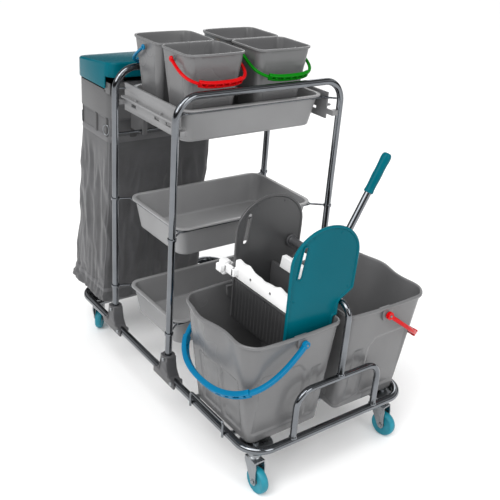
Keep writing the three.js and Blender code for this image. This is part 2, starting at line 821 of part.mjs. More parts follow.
// The arched side plate: legs down into the bucket, a neck that steps over the divider tube, a shaft hole, a slot.
function sidePlate(middleX) {
  const shape = new THREE.Shape();
  shape.moveTo(plateOuterY, plateBottom);
  shape.lineTo(plateLegY, plateBottom);
  shape.lineTo(plateLegY, bucketRimHeight + 2);
  shape.lineTo(plateNeckY, bucketRimHeight + 2);
  shape.lineTo(plateNeckY, plateNeckHeight);
  shape.lineTo(plateInnerY - 3, plateNeckHeight + 28);
  shape.lineTo(plateInnerY, plateShoulderHeight);
  const rise = plateTop - plateShoulderHeight;
  shape.absellipse(plateMiddleY, plateShoulderHeight, plateHalfWidth, rise, 0, Math.PI, false, 0);
  const low = middleX - plateThickness / 2;
  const high = middleX + plateThickness / 2;
  const plate = slabYZ(shape, low, high, 16);
  const shaftHole = rod("x", boreFor(shaftJournal), low - 1, high + 1, [shaftY, shaftHeight]);
  const slotMiddle = [plateOuterY + 36, plateShoulderHeight + 8];
  const slot = box(low - 1, high + 1, -6, 6, -42, 42).rotateX(-0.16).translate(0, ...slotMiddle);
  return cut(plate, shaftHole, slot);
}

const basketLowX = plateBackX + plateThickness / 2 + gap;
const basketHighX = plateFrontX - plateThickness / 2 - gap;

// The trough between the plates, with drain slits in its floor.
function basket() {
  const outer = plateOuterY + 3;
  const inner = plateLegY - 2;
  const shape = shapeOf([
    [outer, basketBottom],
    [inner, basketBottom],
    [inner, bucketRimHeight + 14],
    [inner - basketWall, bucketRimHeight + 14],
    [inner - basketWall, basketBottom + basketWall],
    [outer + basketWall, basketBottom + basketWall],
    [outer + basketWall, basketTop],
    [outer, basketTop],
  ]);
  const trough = slabYZ(shape, basketLowX, basketHighX);
  const slitCount = 9;
  const pitch = (basketHighX - basketLowX) / slitCount;
  const slits = Array.from({ length: slitCount }, (_, index) => {
    const x = basketLowX + pitch * (index + 0.5);
    return box(x - 4, x + 4, outer + 18, inner - 18, basketBottom - 1, basketBottom + basketWall + 1);
  });
  const notch = rod("y", 22, outer - 1, outer + basketWall + 1, [plateFrontX - 90, basketTop]);
  return cut(trough, ...slits, notch);
}

// A journal in each plate, a flange against the back plate and the thick tube between.
function leverShaft() {
  const low = plateBackX + plateThickness / 2 + gap;
  const high = plateFrontX - plateThickness / 2 - gap;
  const journal = shaftJournal / 2;
  const tube = shaftTube / 2;
  const flange = shaftFlange / 2;
  const profile = [
    [0, low - plateThickness],
    [journal, low - plateThickness],
    [journal, low],
    [flange, low],
    [flange, low + 6],
    [tube, low + 6],
    [tube, high],
    [journal, high],
    [journal, high + plateThickness],
    [0, high + plateThickness],
  ].map(([radius, x]) => new THREE.Vector2(radius, x));
  const turned = new THREE.LatheGeometry(profile, 12);
  return turned.rotateZ(-Math.PI / 2).translate(0, shaftY, shaftHeight);
}

function leverRod() {
  return rod("z", leverTube, shaftTube / 2 + gap, shaftTube / 2 + gap + leverLength, [0, 0]);
}

// The hand grip: a closed end over the tube, slightly waisted at its mouth.
function leverGrip() {
  const bore = boreFor(leverTube) / 2;
  const start = shaftTube / 2 + gap + leverLength - (gripLength - 22);
  const tubeEnd = shaftTube / 2 + gap + leverLength + gap;
  const radius = gripDiameter / 2;
  const end = start + gripLength;
  const profile = [
    [0, tubeEnd],
    [bore, tubeEnd],
    [bore, start],
    [radius - 2.5, start],
    [radius - 1, start + 12],
    [radius - 2, start + gripLength * 0.5],
    [radius, end - 16],
    [radius - 3, end - 4],
    [radius - 8, end],
    [0, end],
  ].map(([r, z]) => new THREE.Vector2(r, z));
  return new THREE.LatheGeometry(profile, 12).rotateX(Math.PI / 2);
}

// The fixed jaw: a white beam over the basket's outer wall, ending in a cross-shaped knob past the back plate.
function guideBeam() {
  const low = basketTop + gap;
  const high = low + beamHeight;
  const start = basketLowX + 0.2;
  const end = basketHighX - 0.2;
  const span = end - start;
  const outline = [
    [start, low],
    [end, low],
    [end, high - 6],
    [end - span * 0.22, high - 2],
    [end - span * 0.4, high - 12],
    [end - span * 0.62, high - 12],
    [end - span * 0.8, high - 1],
    [start, high],
  ];
  const inner = plateOuterY + 12;
  return slabXZ(outline, inner - beamThickness / 2, inner + beamThickness / 2);
}

// The beam's end passes round the outer edge of the back plate and carries the knob.
function beamWithKnob() {
  const beamY = plateOuterY + 12;
  const z = basketTop + gap + beamHeight * 0.42;
  const outerY = plateOuterY - 1;
  const armLow = plateBackX - plateThickness / 2 - 40;
  const arm = box(armLow, basketLowX + 16, outerY - 12, outerY, z - 12, z + 12);
  const knob = (halfY, halfZ) =>
    box(armLow, armLow + 24, outerY - 6 - halfY, outerY - 6 + halfY, z - halfZ, z + halfZ);
  const link = box(basketLowX + 2, basketLowX + 16, outerY - 12, beamY, z - 12, z + 12);
  return join(guideBeam(), arm, knob(22, 11), knob(12, 20), link);
}

function pressPlate() {
  const inset = 2;
  const low = basketBottom + basketWall + 2;
  const y = [pressY - pressThickness, pressY];
  const face = box(basketLowX + inset, basketHighX - inset, ...y, low, basketTop + 22);
  const ribs = Array.from({ length: 5 }, (_, index) => {
    const x = basketLowX + inset + 12 + ((basketHighX - basketLowX - 28) * index) / 4;
    return box(x - 2, x + 2, pressY - 1, pressY + 7, low + 8, basketTop + 12);
  });
  return join(face, ...ribs);
}

// The white carriage on top of the press plate, under the shaft.
function pressCarriage() {
  const foot = basketTop + 22 + gap;
  const top = shaftHeight - shaftTube / 2 - 6;
  const profile = shapeOf([
    [pressY - pressThickness - 3, foot],
    [pressY + 20, foot],
    [pressY + 20, foot + 8],
    [pressY + 13, foot + 10],
    [pressY + 10, top],
    [pressY - 6, top],
    [pressY - pressThickness - 1, foot + 9],
  ]);
  return slabYZ(profile, basketLowX + 40, basketHighX - 22);
}

// ---------------------------------------------------------------- bag holder
const ringRearX = bagRingFrontX - bagRingLength;
const ringLowY = bagCentreY - bagRingWidth / 2;
const ringHighY = bagCentreY + bagRingWidth / 2;
const lidPinX = bagRingFrontX - 9;
const hingeWidth = 9;
const hingeY = [ringLowY + 36, ringHighY - 36];

function hingeLug(y, low, high) {
  const arm = box(lidPinX - 7, lidPinX + 7, y, y + hingeWidth, low, high);
  const knuckle = rod("y", 14, y, y + hingeWidth, [lidPinX, lidPinHeight]);
  return [arm, knuckle];
}

function pinHole() {
  return rod("y", boreFor(lidPinDiameter), ringLowY, ringHighY, [lidPinX, lidPinHeight]);
}

// Two hooks reach forward from the ring and drop over the carrier rod.
function ringHook(y) {
  const low = carrierRodHeight - carrierRod / 2 - 6;
  const tip = rearUprightX + carrierRod / 2 + 7;
  const arm = box(bagRingFrontX - 2, tip, y, y + 14, low, bagRingBottom + 22);
  return arm;
}

function hookMouth() {
  const z = carrierRodHeight;
  const half = carrierRod / 2 + gap;
  const round = rod("y", boreFor(carrierRod), ringLowY, ringHighY, [rearUprightX, z]);
  const down = box(rearUprightX - half, rearUprightX + half, ringLowY, ringHighY, z - 20, z);
  return [round, down];
}

function bagRing() {
  const ring = (inset, z) =>
    roundedRing(ringRearX + inset, bagRingFrontX - inset, ringLowY + inset, ringHighY - inset, 30 - inset, z);
  const wall = loft(
    [
      ring(0, bagRingBottom),
      ring(0, bagRingTop),
      ring(bagRingWall, bagRingTop),
      ring(bagRingWall, bagRingBottom),
    ],
    true,
  );
  const sill = box(lidPinX - 8, bagRingFrontX, ringLowY + 20, ringHighY - 20, bagRingTop - 8, lidPinHeight - 21);
  const lugs = hingeY.flatMap((y) => hingeLug(y, bagRingTop - 8, lidPinHeight));
  const hooks = [ringLowY + 70, ringHighY - 84].map(ringHook);
  const nub = rod("x", 12, ringRearX - 12, ringRearX + 1, [ringLowY + 34, bagRingTop - 10], wireSides);
  return cut(join(wall, sill, ...lugs, ...hooks, nub), pinHole(), ...hookMouth());
}

// A sloping-topped cap with a skirt, shorter at the hinge so that it clears the ring as it swings. Its
// front wall is slit where it swings down past the ring's lugs.
function bagLid() {
  const lowX = ringRearX - 2;
  const highX = bagRingFrontX + 9;
  const lowY = ringLowY - lidOverhang;
  const highY = ringHighY + lidOverhang;
  const slope = (lidFrontTop - lidRearTop) / (highX - lowX);
  const top = (ring, drop) =>
    ring.map((point) => point.clone().setZ(lidRearTop + slope * (point.x - lowX) - drop));
  const ring = (inset, z) =>
    roundedRing(lowX + inset, highX - inset, lowY + inset, highY - inset, 34 - inset, z);
  const shell = loft([
    top(ring(lidWall, 0), lidWall),
    ring(lidWall, lidSkirt),
    ring(0, lidSkirt),
    top(ring(0, 0), 5),
    top(ring(4, 0), 0),
  ]);
  const relief = box(lidPinX - 14, highX + 5, lowY - 5, highY + 5, lidSkirt - 5, lidFrontSkirt);
  const fingerNotch = box(lowX - 5, lowX + 12, bagCentreY - 70, bagCentreY + 70, lidSkirt - 5, lidSkirt + 14);
  const lugs = hingeY.flatMap((y) => {
    const inside = y < bagCentreY ? y + hingeWidth + gap * 2 : y - hingeWidth - gap * 2;
    return hingeLug(inside, lidPinHeight, lidFrontTop - lidWall - 0.5);
  });
  const slits = hingeY.map((y) => {
    const across = [y - 4 * gap, y + hingeWidth + 4 * gap];
    return box(highX - lidWall - 2, highX + 2, ...across, lidFrontSkirt - 5, lidPinHeight + 10);
  });
  return cut(join(cut(shell, relief, fingerNotch, ...slits), ...lugs), pinHole());
}

function hingePin() {
  return rod("y", lidPinDiameter, ringLowY + 30, ringHighY - 22, [lidPinX, lidPinHeight]);
}

function carrierRodGeometry() {
  const reach = halfWidth - uprightTube / 2 - gap;
  return rod("y", carrierRod, -reach, reach, [rearUprightX, carrierRodHeight]);
}

// A plain open-topped sack: it fills the ring, hangs down and spreads over the rear of the base.
function bag() {
  const air = bagRingWall + 1;
  const level = (share, inset, z) => {
    const mix = (from, to) => from + (to - from) * share;
    return roundedRing(
      mix(ringRearX + air, bagFoot.rearX) + inset,
      mix(bagRingFrontX - air, bagFoot.frontX) - inset,
      mix(ringLowY + air, bagFoot.nearY) + inset,
      mix(ringHighY - air, bagFoot.farY) - inset,
      mix(26, 12) - inset,
      z,
    );
  };
  const mouth = bagRingTop - 20;
  const waist = bagRingBottom - 40;
  return loft([
    level(1, bagWall, bagBottom + bagWall),
    level(0, bagWall, waist),
    level(0, bagWall, mouth),
    level(0, 0, mouth),
    level(0, 0, waist),
    level(1, 0, bagBottom),
  ]);
}

// ---------------------------------------------------------------- casters
// The four casters, with the way each one happens to trail.
function casterPlaces() {
  return [
    { name: "front_left", x: casterX, y: -casterY, yaw: 0 },
    { name: "front_right", x: casterX, y: casterY, yaw: 0.15 },
    { name: "rear_left", x: -casterX, y: -casterY, yaw: 2.48 },
    { name: "rear_right", x: -casterX, y: casterY, yaw: 2.9 },
  ];
}

const axleHeight = wheelDiameter / 2;

function casterFork() {
  const crownLow = casterCrownTop - 5;
  const outer = forkInner / 2 + forkPlate;
  const cheek = [
    [-21, casterCrownTop],
    [-21, crownLow - 8],
    [casterTrail - 11, axleHeight - 4],
    [casterTrail - 5, axleHeight - 11],
    [casterTrail + 5, axleHeight - 11],
    [casterTrail + 10, axleHeight - 4],
    [casterTrail + 7, crownLow - 12],
    [casterTrail + 3, casterCrownTop],
  ];
  const cheeks = [slabXZ(cheek, forkInner / 2, outer), slabXZ(cheek, -outer, -forkInner / 2)];
  const crown = box(-21, casterTrail + 3, -outer, outer, crownLow, casterCrownTop);
  const plateLow = baseHeight - baseTube / 2 + 1;
  const plateHigh = plateLow + cornerPlateThickness;
  const race = rod("z", 34, casterCrownTop - 1, plateLow - gap, [0, 0]);
  const pin = rod("z", kingPin, crownLow, plateHigh + 8.5, [0, 0]);
  const nut = rod("z", 19, plateHigh + gap, plateHigh + 8, [0, 0], 6);
  const bore = rod("y", boreFor(axleDiameter), -outer - 1, outer + 1, [casterTrail, axleHeight]);
  return cut(join(crown, ...cheeks, race, pin, nut), bore);
}

// A tyred wheel turned about Y, with a stepped hub.
function wheel() {
  const half = wheelWidth / 2;
  const radius = wheelDiameter / 2;
  const profile = [
    [wheelBore / 2, -half],
    [radius - 12, -half + 1],
    [radius - 4, -half + 2],
    [radius, -half + 8],
    [radius, half - 8],
    [radius - 4, half - 2],
    [radius - 12, half - 1],
    [wheelBore / 2, half],
    [wheelBore / 2, -half],
  ].map(([r, y]) => new THREE.Vector2(r, y));
  return new THREE.LatheGeometry(profile, 18).translate(casterTrail, 0, axleHeight);
}

function axle() {
  const reach = forkInner / 2 + forkPlate + gap;
  const heads = [-1, 1].map((side) => {
    const ends = side > 0 ? [reach, reach + 4] : [-reach - 4, -reach];
    return rod("y", 13, ...ends, [casterTrail, axleHeight], 6);
  });
  return join(rod("y", axleDiameter, -reach - 1, reach + 1, [casterTrail, axleHeight]), ...heads);
}

// ---------------------------------------------------------------- assembly
const trolley = new THREE.Group();
trolley.name = "cleaning_trolley";

function add(name, geometry, material, parent = trolley) {
  const mesh = new THREE.Mesh(geometry, material);
  mesh.name = name;
  parent.add(mesh);
  return mesh;
}

function addChassis() {
  add("base_loop", baseLoop(), chrome());
  for (const [place, x] of Object.entries(supportBarX)) {
    add(`support_bar_${place}`, supportBarAt(x), zinc());
  }
  add("end_hoop", endHoop(), chrome());
  add("divider_hoop", dividerHoop(), chrome());
  add("guard_rail_left", guardRail(-1), chrome());
  add("guard_rail_right", guardRail(1), chrome());
  add("front_upright", upright(frontUprightX), chrome());
  add("rear_upright", upright(rearUprightX), chrome());
  for (const [end, x] of [["front", frontUprightX], ["rear", rearUprightX]]) {
    add(`${end}_clamp_left`, legClamp(x, -1), clampGrey());
    add(`${end}_clamp_right`, legClamp(x, 1), clampGrey());
  }
}

function addTrays() {
  for (const [level, rimZ] of Object.entries(trayRimHeight)) {
    add(`tray_${level}`, tub({ ...traySizes, rimZ }), trayGrey());
    add(`tray_wires_${level}`, trayWires(rimZ), chrome());
  }
  add("top_rail_left", topRail(-1), trayGrey());
  add("top_rail_right", topRail(1), trayGrey());
}

function addPails() {
  const spots = [
    { name: "front_left", sx: 1, sy: -1, colour: red() },
    { name: "front_right", sx: 1, sy: 1, colour: green() },
    { name: "rear_left", sx: -1, sy: -1, colour: blue() },
    { name: "rear_right", sx: -1, sy: 1, colour: yellow() },
  ];
  for (const { name, sx, sy, colour } of spots) {
    const x = trayX + pailMiddle.x + (sx * pailSpacingX) / 2;
    const y = pailMiddle.y + (sy * pailSpacingY) / 2;
    add(`small_bucket_${name}`, pail(x, y, sx), bucketGrey());
    const handle = add(`small_handle_${name}`, pailBail(), colour);
    handle.position.set(x, y, pailPivotHeight);
    const droop = leanOn(sx > 0 ? frontUprightX : rearUprightX, x);
    handle.rotation.y = sx > 0 ? droop : Math.PI - droop;
  }
}

function addMopBuckets() {
  for (const [name, side, colour] of [["left", -1, blue()], ["right", 1, red()]]) {
    add(`mop_bucket_${name}`, mopBucket(side), bucketGrey());
    const handle = add(`mop_handle_${name}`, bucketBail(), colour);
    handle.position.set(bucketX, -side * bucketPivotY, bucketPivotHeight);
    const droop = THREE.MathUtils.degToRad(bucketBailAngle);
    handle.rotation.order = "ZXY";
    handle.rotation.set(0, droop, (side * Math.PI) / 2);
  }
}

function addWringer() {
  add("wringer_front_plate", sidePlate(plateFrontX), teal());
  add("wringer_back_plate", sidePlate(plateBackX), darkGrey());
  add("wringer_basket", basket(), darkGrey());
  add("wringer_shaft", leverShaft(), clampGrey());
  add("wringer_beam", beamWithKnob(), white());
  add("press_plate", pressPlate(), darkGrey());
  add("press_carriage", pressCarriage(), white());
  const lever = new THREE.Group();
  lever.position.set(leverX, shaftY, shaftHeight);
  lever.rotation.x = -THREE.MathUtils.degToRad(leverLean);
  trolley.add(lever);
  add("lever_tube", leverRod(), chrome(), lever);
  add("lever_grip", leverGrip(), teal(), lever);
}

function addBagHolder() {
  add("carrier_rod", carrierRodGeometry(), chrome());
  add("bag_ring", bagRing(), bucketGrey());
  add("bag_lid", bagLid(), teal());
  add("lid_hinge_pin", hingePin(), zinc());
  add("laundry_bag", bag(), bagGrey());
}

function addCasters() {
  for (const { name, x, y, yaw } of casterPlaces()) {
    const caster = new THREE.Group();
    caster.position.set(x, y, 0);
    caster.rotation.z = yaw;
    trolley.add(caster);
    add(`caster_fork_${name}`, casterFork(), zinc(), caster);
    add(`caster_wheel_${name}`, wheel(), tyreTeal(), caster);
    add(`caster_axle_${name}`, axle(), zinc(), caster);
  }
}

addChassis();
addTrays();
addPails();
addMopBuckets();
addWringer();
addBagHolder();
addCasters();

// The origin sits on the floor under the middle of the whole trolley.
const extent = new THREE.Box3().setFromObject(trolley, true);
trolley.position.x = -(extent.min.x + extent.max.x) / 2;

export default trolley;
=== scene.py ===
from math import acos, atan2, copysign, cos, degrees, exp, hypot, pi, radians, sin, sqrt, tan

import bmesh
import bpy
import numpy as np
from mathutils import Matrix, Vector, noise


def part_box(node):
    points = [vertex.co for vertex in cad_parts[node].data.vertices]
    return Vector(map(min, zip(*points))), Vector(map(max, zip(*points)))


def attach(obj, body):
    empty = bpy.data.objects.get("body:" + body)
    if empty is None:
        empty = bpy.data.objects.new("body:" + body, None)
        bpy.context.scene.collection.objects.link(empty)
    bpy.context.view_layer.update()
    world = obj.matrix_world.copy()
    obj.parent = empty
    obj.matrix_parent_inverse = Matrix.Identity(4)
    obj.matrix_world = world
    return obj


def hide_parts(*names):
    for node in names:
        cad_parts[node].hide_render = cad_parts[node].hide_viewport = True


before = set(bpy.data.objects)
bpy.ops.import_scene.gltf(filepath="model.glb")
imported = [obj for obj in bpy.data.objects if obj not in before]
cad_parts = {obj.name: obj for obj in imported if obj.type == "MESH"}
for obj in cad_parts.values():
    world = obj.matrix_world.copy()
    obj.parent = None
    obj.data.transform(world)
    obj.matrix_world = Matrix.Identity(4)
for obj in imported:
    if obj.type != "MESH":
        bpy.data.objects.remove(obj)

scene = bpy.context.scene

# Sizes and places are in millimetres from the middle of the base loop, as in the CAD. SHIFT is that point's X
# in the frame, in metres.
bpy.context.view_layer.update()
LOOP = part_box("base_loop")
SHIFT = (LOOP[0][0] + LOOP[1][0]) / 2


def add_object(name, data):
    thing = bpy.data.objects.new(name, data)
    scene.collection.objects.link(thing)
    return thing


# ------------ camera
LENS, SENSOR = 56.72, 36
CAMERA_PLACE = (1.744 + SHIFT, -1.300, 1.504)
AZIMUTH, ELEVATION, ROLL = (radians(a) for a in (52.121, 25.525, 4.517))


def add_camera():
    forward = Vector((-sin(AZIMUTH) * cos(ELEVATION),
                      cos(AZIMUTH) * cos(ELEVATION),
                      -sin(ELEVATION)))
    level = Vector((cos(AZIMUTH), sin(AZIMUTH), 0))
    upright = level.cross(forward)
    right = level * cos(ROLL) + upright * sin(ROLL)
    up = upright * cos(ROLL) - level * sin(ROLL)
    data = bpy.data.cameras.new("camera")
    data.lens, data.sensor_width = LENS, SENSOR
    camera = add_object("camera", data)
    turn = Matrix((right, up, -forward)).transposed().to_4x4()
    camera.matrix_world = Matrix.Translation(CAMERA_PLACE) @ turn
    scene.camera = camera


add_camera()

# ------------ materials
WAVE_PERIOD = 0.314     # of a wave texture at scale 1, in metres


def tone(paint, factor=1):
    """Linear light from a colour of six hexadecimal digits, darker or paler by the factor."""
    parts = [int(paint[i:i + 2], 16) / 255 for i in (0, 2, 4)]
    light = [p / 12.92 if p <= 0.04045 else ((p + 0.055) / 1.055) ** 2.4 for p in parts]
    return [min(1, c * factor) for c in light] + [1]


class Nodes:
    """The node tree of a material or world, with short calls for the nodes used here."""

    def __init__(self, owner, coordinates="Object"):
        owner.use_nodes = True
        self.owner = owner
        self.tree = owner.node_tree
        self.shader = self.tree.nodes.get("Principled BSDF")
        self.place = self.add("ShaderNodeTexCoord").outputs[coordinates]

    def feed(self, value, socket):
        """Links an output to a socket, or sets the socket to a number or colour."""
        if hasattr(value, "is_linked"):
            self.tree.links.new(value, socket)
        else:
            socket.default_value = value

    def set(self, **values):
        """Feeds the shader's own sockets."""
        for key, value in values.items():
            self.feed(value, self.shader.inputs[key.replace("_", " ")])

    def add(self, kind, **values):
        """A new node. values are its settings, or what its sockets are fed with."""
        node = self.tree.nodes.new(kind)
        for key, value in values.items():
            if hasattr(node, key):
                setattr(node, key, value)
            else:
                self.feed(value, node.inputs[key])
        return node

    def noise(self, scale, detail, stretch=None):
        place = self.place
        if stretch:
            place = self.add("ShaderNodeMapping", Scale=stretch, Vector=place).outputs["Vector"]
        return self.add("ShaderNodeTexNoise", Scale=scale, Detail=detail, Vector=place).outputs["Fac"]

    def ramp(self, value, stops):
        node = self.add("ShaderNodeValToRGB", Fac=value)
        elements = node.color_ramp.elements
        while len(elements) < len(stops):
            elements.new(0.5)
        for element, (position, colour) in zip(elements, stops):
            element.position, element.color = position, colour
        return node.outputs["Color"]

    def mix(self, share, first, second, blend="MIX"):
        node = self.add("ShaderNodeMix", data_type="RGBA", blend_type=blend)
        for value, index in ((share, 0), (first, 6), (second, 7)):
            self.feed(value, node.inputs[index])
        return node.outputs[2]

    def span(self, value, low, high, start=0.0, end=1.0):
        """value, with its range from start to end mapped on low to high."""
        node = self.add("ShaderNodeMapRange")
        for number, socket in zip((value, start, end, low, high), node.inputs):
            self.feed(number, socket)
        return node.outputs[0]

    def bump(self, height, strength, distance):
        node = self.add("ShaderNodeBump", Strength=strength, Distance=distance, Height=height)
        self.set(Normal=node.outputs["Normal"])


def plastic(name, paint, rough, grain=0.12, specular=0.5):
    """Moulded plastic: faint clouding, a fine spark-eroded grain and edges rubbed a little paler."""
    n = Nodes(bpy.data.materials.new(name))
    cloud = n.ramp(n.noise(7, 4), [(0.3, tone(paint, 0.93)), (0.7, tone(paint, 1.06))])
    edge = n.ramp(n.add("ShaderNodeNewGeometry").outputs["Pointiness"],
                  [(0.52, (0, 0, 0, 1)), (0.62, (0.45, 0.45, 0.45, 1))])
    n.set(Base_Color=n.mix(edge, cloud, tone(paint, 1.45)), Specular_IOR_Level=specular,
          Roughness=n.span(n.noise(5, 2), rough - 0.01, rough + 0.03))
    n.bump(n.noise(1400, 2), grain, 0.0001)
    return n.owner


def chrome(name, paint, rough):
    """Bright plating over drawn tube: hair scratches and faint smears in the polish."""
    n = Nodes(bpy.data.materials.new(name))
    n.set(Base_Color=n.ramp(n.noise(18, 4), [(0.35, tone(paint, 0.86)), (0.65, tone(paint))]), Metallic=1,
          Roughness=n.span(n.noise(60, 5, (1, 1, 6)), rough, rough + 0.12, 0.35, 0.75))
    n.bump(n.noise(420, 2), 0.05, 0.0002)
    return n.owner


def rubber(name, paint):
    """A tyre's rubber, dusty in patches."""
    n = Nodes(bpy.data.materials.new(name))
    n.set(Base_Color=n.ramp(n.noise(30, 5), [(0.4, tone(paint)), (0.75, tone(paint, 1.35))]),
          Roughness=n.span(n.noise(80, 3), 0.42, 0.62))
    n.bump(n.noise(900, 3), 0.2, 0.0003)
    return n.owner


def weave(name, paint, thread=0.0016):
    """Polyester canvas with creased, paler patches. thread is the threads' spacing, in metres."""
    n = Nodes(bpy.data.materials.new(name))
    waves = [n.add("ShaderNodeTexWave", bands_direction=axis, Scale=WAVE_PERIOD / thread,
                   Vector=n.place).outputs["Fac"] for axis in "XYZ"]
    threads = n.mix(0.5, n.mix(0.5, waves[0], waves[1]), waves[2])
    patch = n.ramp(n.noise(9, 5), [(0.35, tone(paint, 0.82)), (0.7, tone(paint, 1.2))])
    n.set(Base_Color=n.mix(0.1, patch, threads, "OVERLAY"), Roughness=n.span(n.noise(25, 4), 0.62, 0.85),
          Sheen_Weight=0.25, Sheen_Roughness=0.5)
    n.bump(n.mix(0.6, threads, n.noise(55, 4)), 0.3, 0.0011)
    return n.owner


MATERIALS = {name: maker(name, *values) for name, maker, *values in (
    ("chrome_tube", chrome, "787b7f", 0.05),
    ("zinc_steel", chrome, "96999c", 0.26),
    ("tray_plastic", plastic, "8b8b8c", 0.32),
    ("bucket_plastic", plastic, "666667", 0.26),
    ("dark_plastic", plastic, "464647", 0.34),
    ("clamp_plastic", plastic, "464648", 0.38),
    ("teal_plastic", plastic, "005865", 0.22, 0.05, 0.07),
    ("teal_tyre", rubber, "08788a"),
    ("white_plastic", plastic, "f2f2f2", 0.36, 0.06),
    ("bag_fabric", weave, "454547"),
    ("red_plastic", plastic, "bc0208", 0.26, 0.05, 0.16),
    ("green_plastic", plastic, "027208", 0.26, 0.05, 0.14),
    ("blue_plastic", plastic, "01678f", 0.26, 0.05, 0.14),
    ("yellow_plastic", plastic, "d0a006", 0.26, 0.05, 0.2))}

# ------------ making pieces
SMOOTH = 38     # edges sharper than this stay sharp, in degrees


def settle(piece, body, slot, nodes=(), angle=SMOOTH):
    """Smooth shading, finish and body of a new piece, and the CAD nodes that it stands for."""
    piece.data.shade_smooth()
    piece.data.set_sharp_from_angle(angle=radians(angle))
    piece.data.materials.clear()
    piece.data.materials.append(MATERIALS[slot])
    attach(piece, body)
    if nodes:
        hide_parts(*nodes)
    return piece


def add_mesh(name, shapes):
    """One new object from several (vertices in millimetres, faces)."""
    mesh = bpy.data.meshes.new(name)
    vertices, faces = [], []
    for points, polygons in shapes:
        base = len(vertices)
        vertices += [(p[0] / 1000 + SHIFT, p[1] / 1000, p[2] / 1000) for p in points]
        faces += [[base + i for i in polygon] for polygon in polygons]
    mesh.from_pydata(vertices, [], faces)
    bm = bmesh.new()
    bm.from_mesh(mesh)
    bmesh.ops.recalc_face_normals(bm, faces=bm.faces)
    bm.to_mesh(mesh)
    bm.free()
    return add_object(name, mesh)


def make(name, shape, body, slot, nodes=(), angle=SMOOTH, bevel=None):
    """A piece from a shape, or from a list of shapes joined. bevel rounds its edges, in millimetres."""
    piece = add_mesh(name, shape if isinstance(shape, list) else [shape])
    if bevel:
        round_edges(piece, bevel)
    return settle(piece, body, slot, nodes, angle)


def apply_modifiers(piece):
    bpy.context.view_layer.update()
    made = bpy.data.meshes.new_from_object(piece.evaluated_get(bpy.context.evaluated_depsgraph_get()))
    piece.modifiers.clear()
    piece.data = made


def round_edges(piece, width):
    modifier = piece.modifiers.new("edges", "BEVEL")
    modifier.width = width / 1000
    modifier.segments = 3
    modifier.limit_method = "ANGLE"
    modifier.angle_limit = radians(35)
    modifier.use_clamp_overlap = True
    apply_modifiers(piece)


def thicken(piece, thickness, offset, slot, angle):
    """Gives a surface a thickness, in metres."""
    modifier = piece.modifiers.new("cloth", "SOLIDIFY")
    modifier.thickness, modifier.offset = thickness, offset
    apply_modifiers(piece)
    settle(piece, "trolley", slot, angle=angle)


def refined(node, name, body, slot, width):
    """A CAD node's shape as clean faces with its edges rounded over."""
    bm = bmesh.new()
    bm.from_mesh(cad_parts[node].data)
    bmesh.ops.remove_doubles(bm, verts=bm.verts, dist=1e-5)
    bmesh.ops.dissolve_limit(bm, angle_limit=radians(2), verts=bm.verts, edges=bm.edges)
    mesh = bpy.data.meshes.new(name)
    bm.to_mesh(mesh)
    bm.free()
    piece = add_object(name, mesh)
    round_edges(piece, width)
    return settle(piece, body, slot, [node])


def carve(piece, cutters):
    """Cuts shapes out of a piece."""
    tools = [add_mesh(f"cutter_{number}", [cutter]) for number, cutter in enumerate(cutters)]
    for tool in tools:
        modifier = piece.modifiers.new("cut", "BOOLEAN")
        modifier.operation, modifier.object, modifier.solver = "DIFFERENCE", tool, "EXACT"
    apply_modifiers(piece)
    for tool in tools:
        bpy.data.objects.remove(tool)


def smooth(value, low, high):
    """0 at low, 1 at high, with no corner at either."""
    t = min(1, max(0, (value - low) / (high - low)))
    return t * t * (3 - 2 * t)


def skin(rings, closed=False, caps=(True, True)):
    """A shape: vertices and the quads between rings of equal length. closed joins the last to the first."""
    size = len(rings[0])
    points = [tuple(p) for ring in rings for p in ring]
    faces = []
    for band in range(len(rings) if closed else len(rings) - 1):
        low, high = band * size, (band + 1) % len(rings) * size
        faces += [[low + i, low + (i + 1) % size, high + (i + 1) % size, high + i] for i in range(size)]
    if not closed and caps[0]:
        faces.append(list(range(size)))
    if not closed and caps[1]:
        faces.append(list(range(len(points) - size, len(points))))
    return points, faces


def box(low_x, high_x, low_y, high_y, low_z, high_z):
    ring = [(low_x, low_y), (high_x, low_y), (high_x, high_y), (low_x, high_y)]
    return skin([[(x, y, z) for x, y in ring] for z in (low_z, high_z)])


def moved(shape, matrix):
    return [tuple(matrix @ Vector(p)) for p in shape[0]], shape[1]


def turned(profile, place, axis, sides):
    """A profile of (radius, distance along the axis) turned about an axis through place."""
    angles = [2 * pi * k / sides for k in range(sides)]
    points, faces = skin([[(r * cos(a), r * sin(a), h) for r, h in profile] for a in angles],
                         closed=True)
    faces = [f for f in faces if abs(f[0] - f[1]) == 1]
    size = len(profile)
    faces += [[k * size + i for k in range(sides)] for i in (0, size - 1) if profile[i][0] > 1e-6]
    turn = {"x": Matrix(((0, 0, 1), (1, 0, 0), (0, 1, 0))), "y": Matrix(((0, 1, 0), (0, 0, 1), (1, 0, 0))),
            "z": Matrix.Identity(3)}[axis]
    return [tuple(turn @ Vector(p) + Vector(place)) for p in points], faces


def fillet(route, radius, closed=False, step=8):
    """The route with its corners rounded, in arcs of steps of so many degrees."""
    points = [Vector(p) for p in route]
    count = len(points)
    made = []
    for i, corner in enumerate(points):
        back = (points[i - 1] - corner).normalized()
        on = (points[(i + 1) % count] - corner).normalized()
        inside = back.angle(on)
        turn = pi - inside
        if turn < 0.01 or not closed and i in (0, count - 1):
            made.append(corner)
            continue
        centre = corner + (back + on).normalized() * radius / sin(inside / 2)
        start = corner + back * radius / tan(inside / 2) - centre
        steps = max(2, round(degrees(turn) / step))
        axis = on.cross(back).normalized()
        made += [Matrix.Rotation(turn * k / steps, 3, axis) @ start + centre for k in range(steps + 1)]
    return made


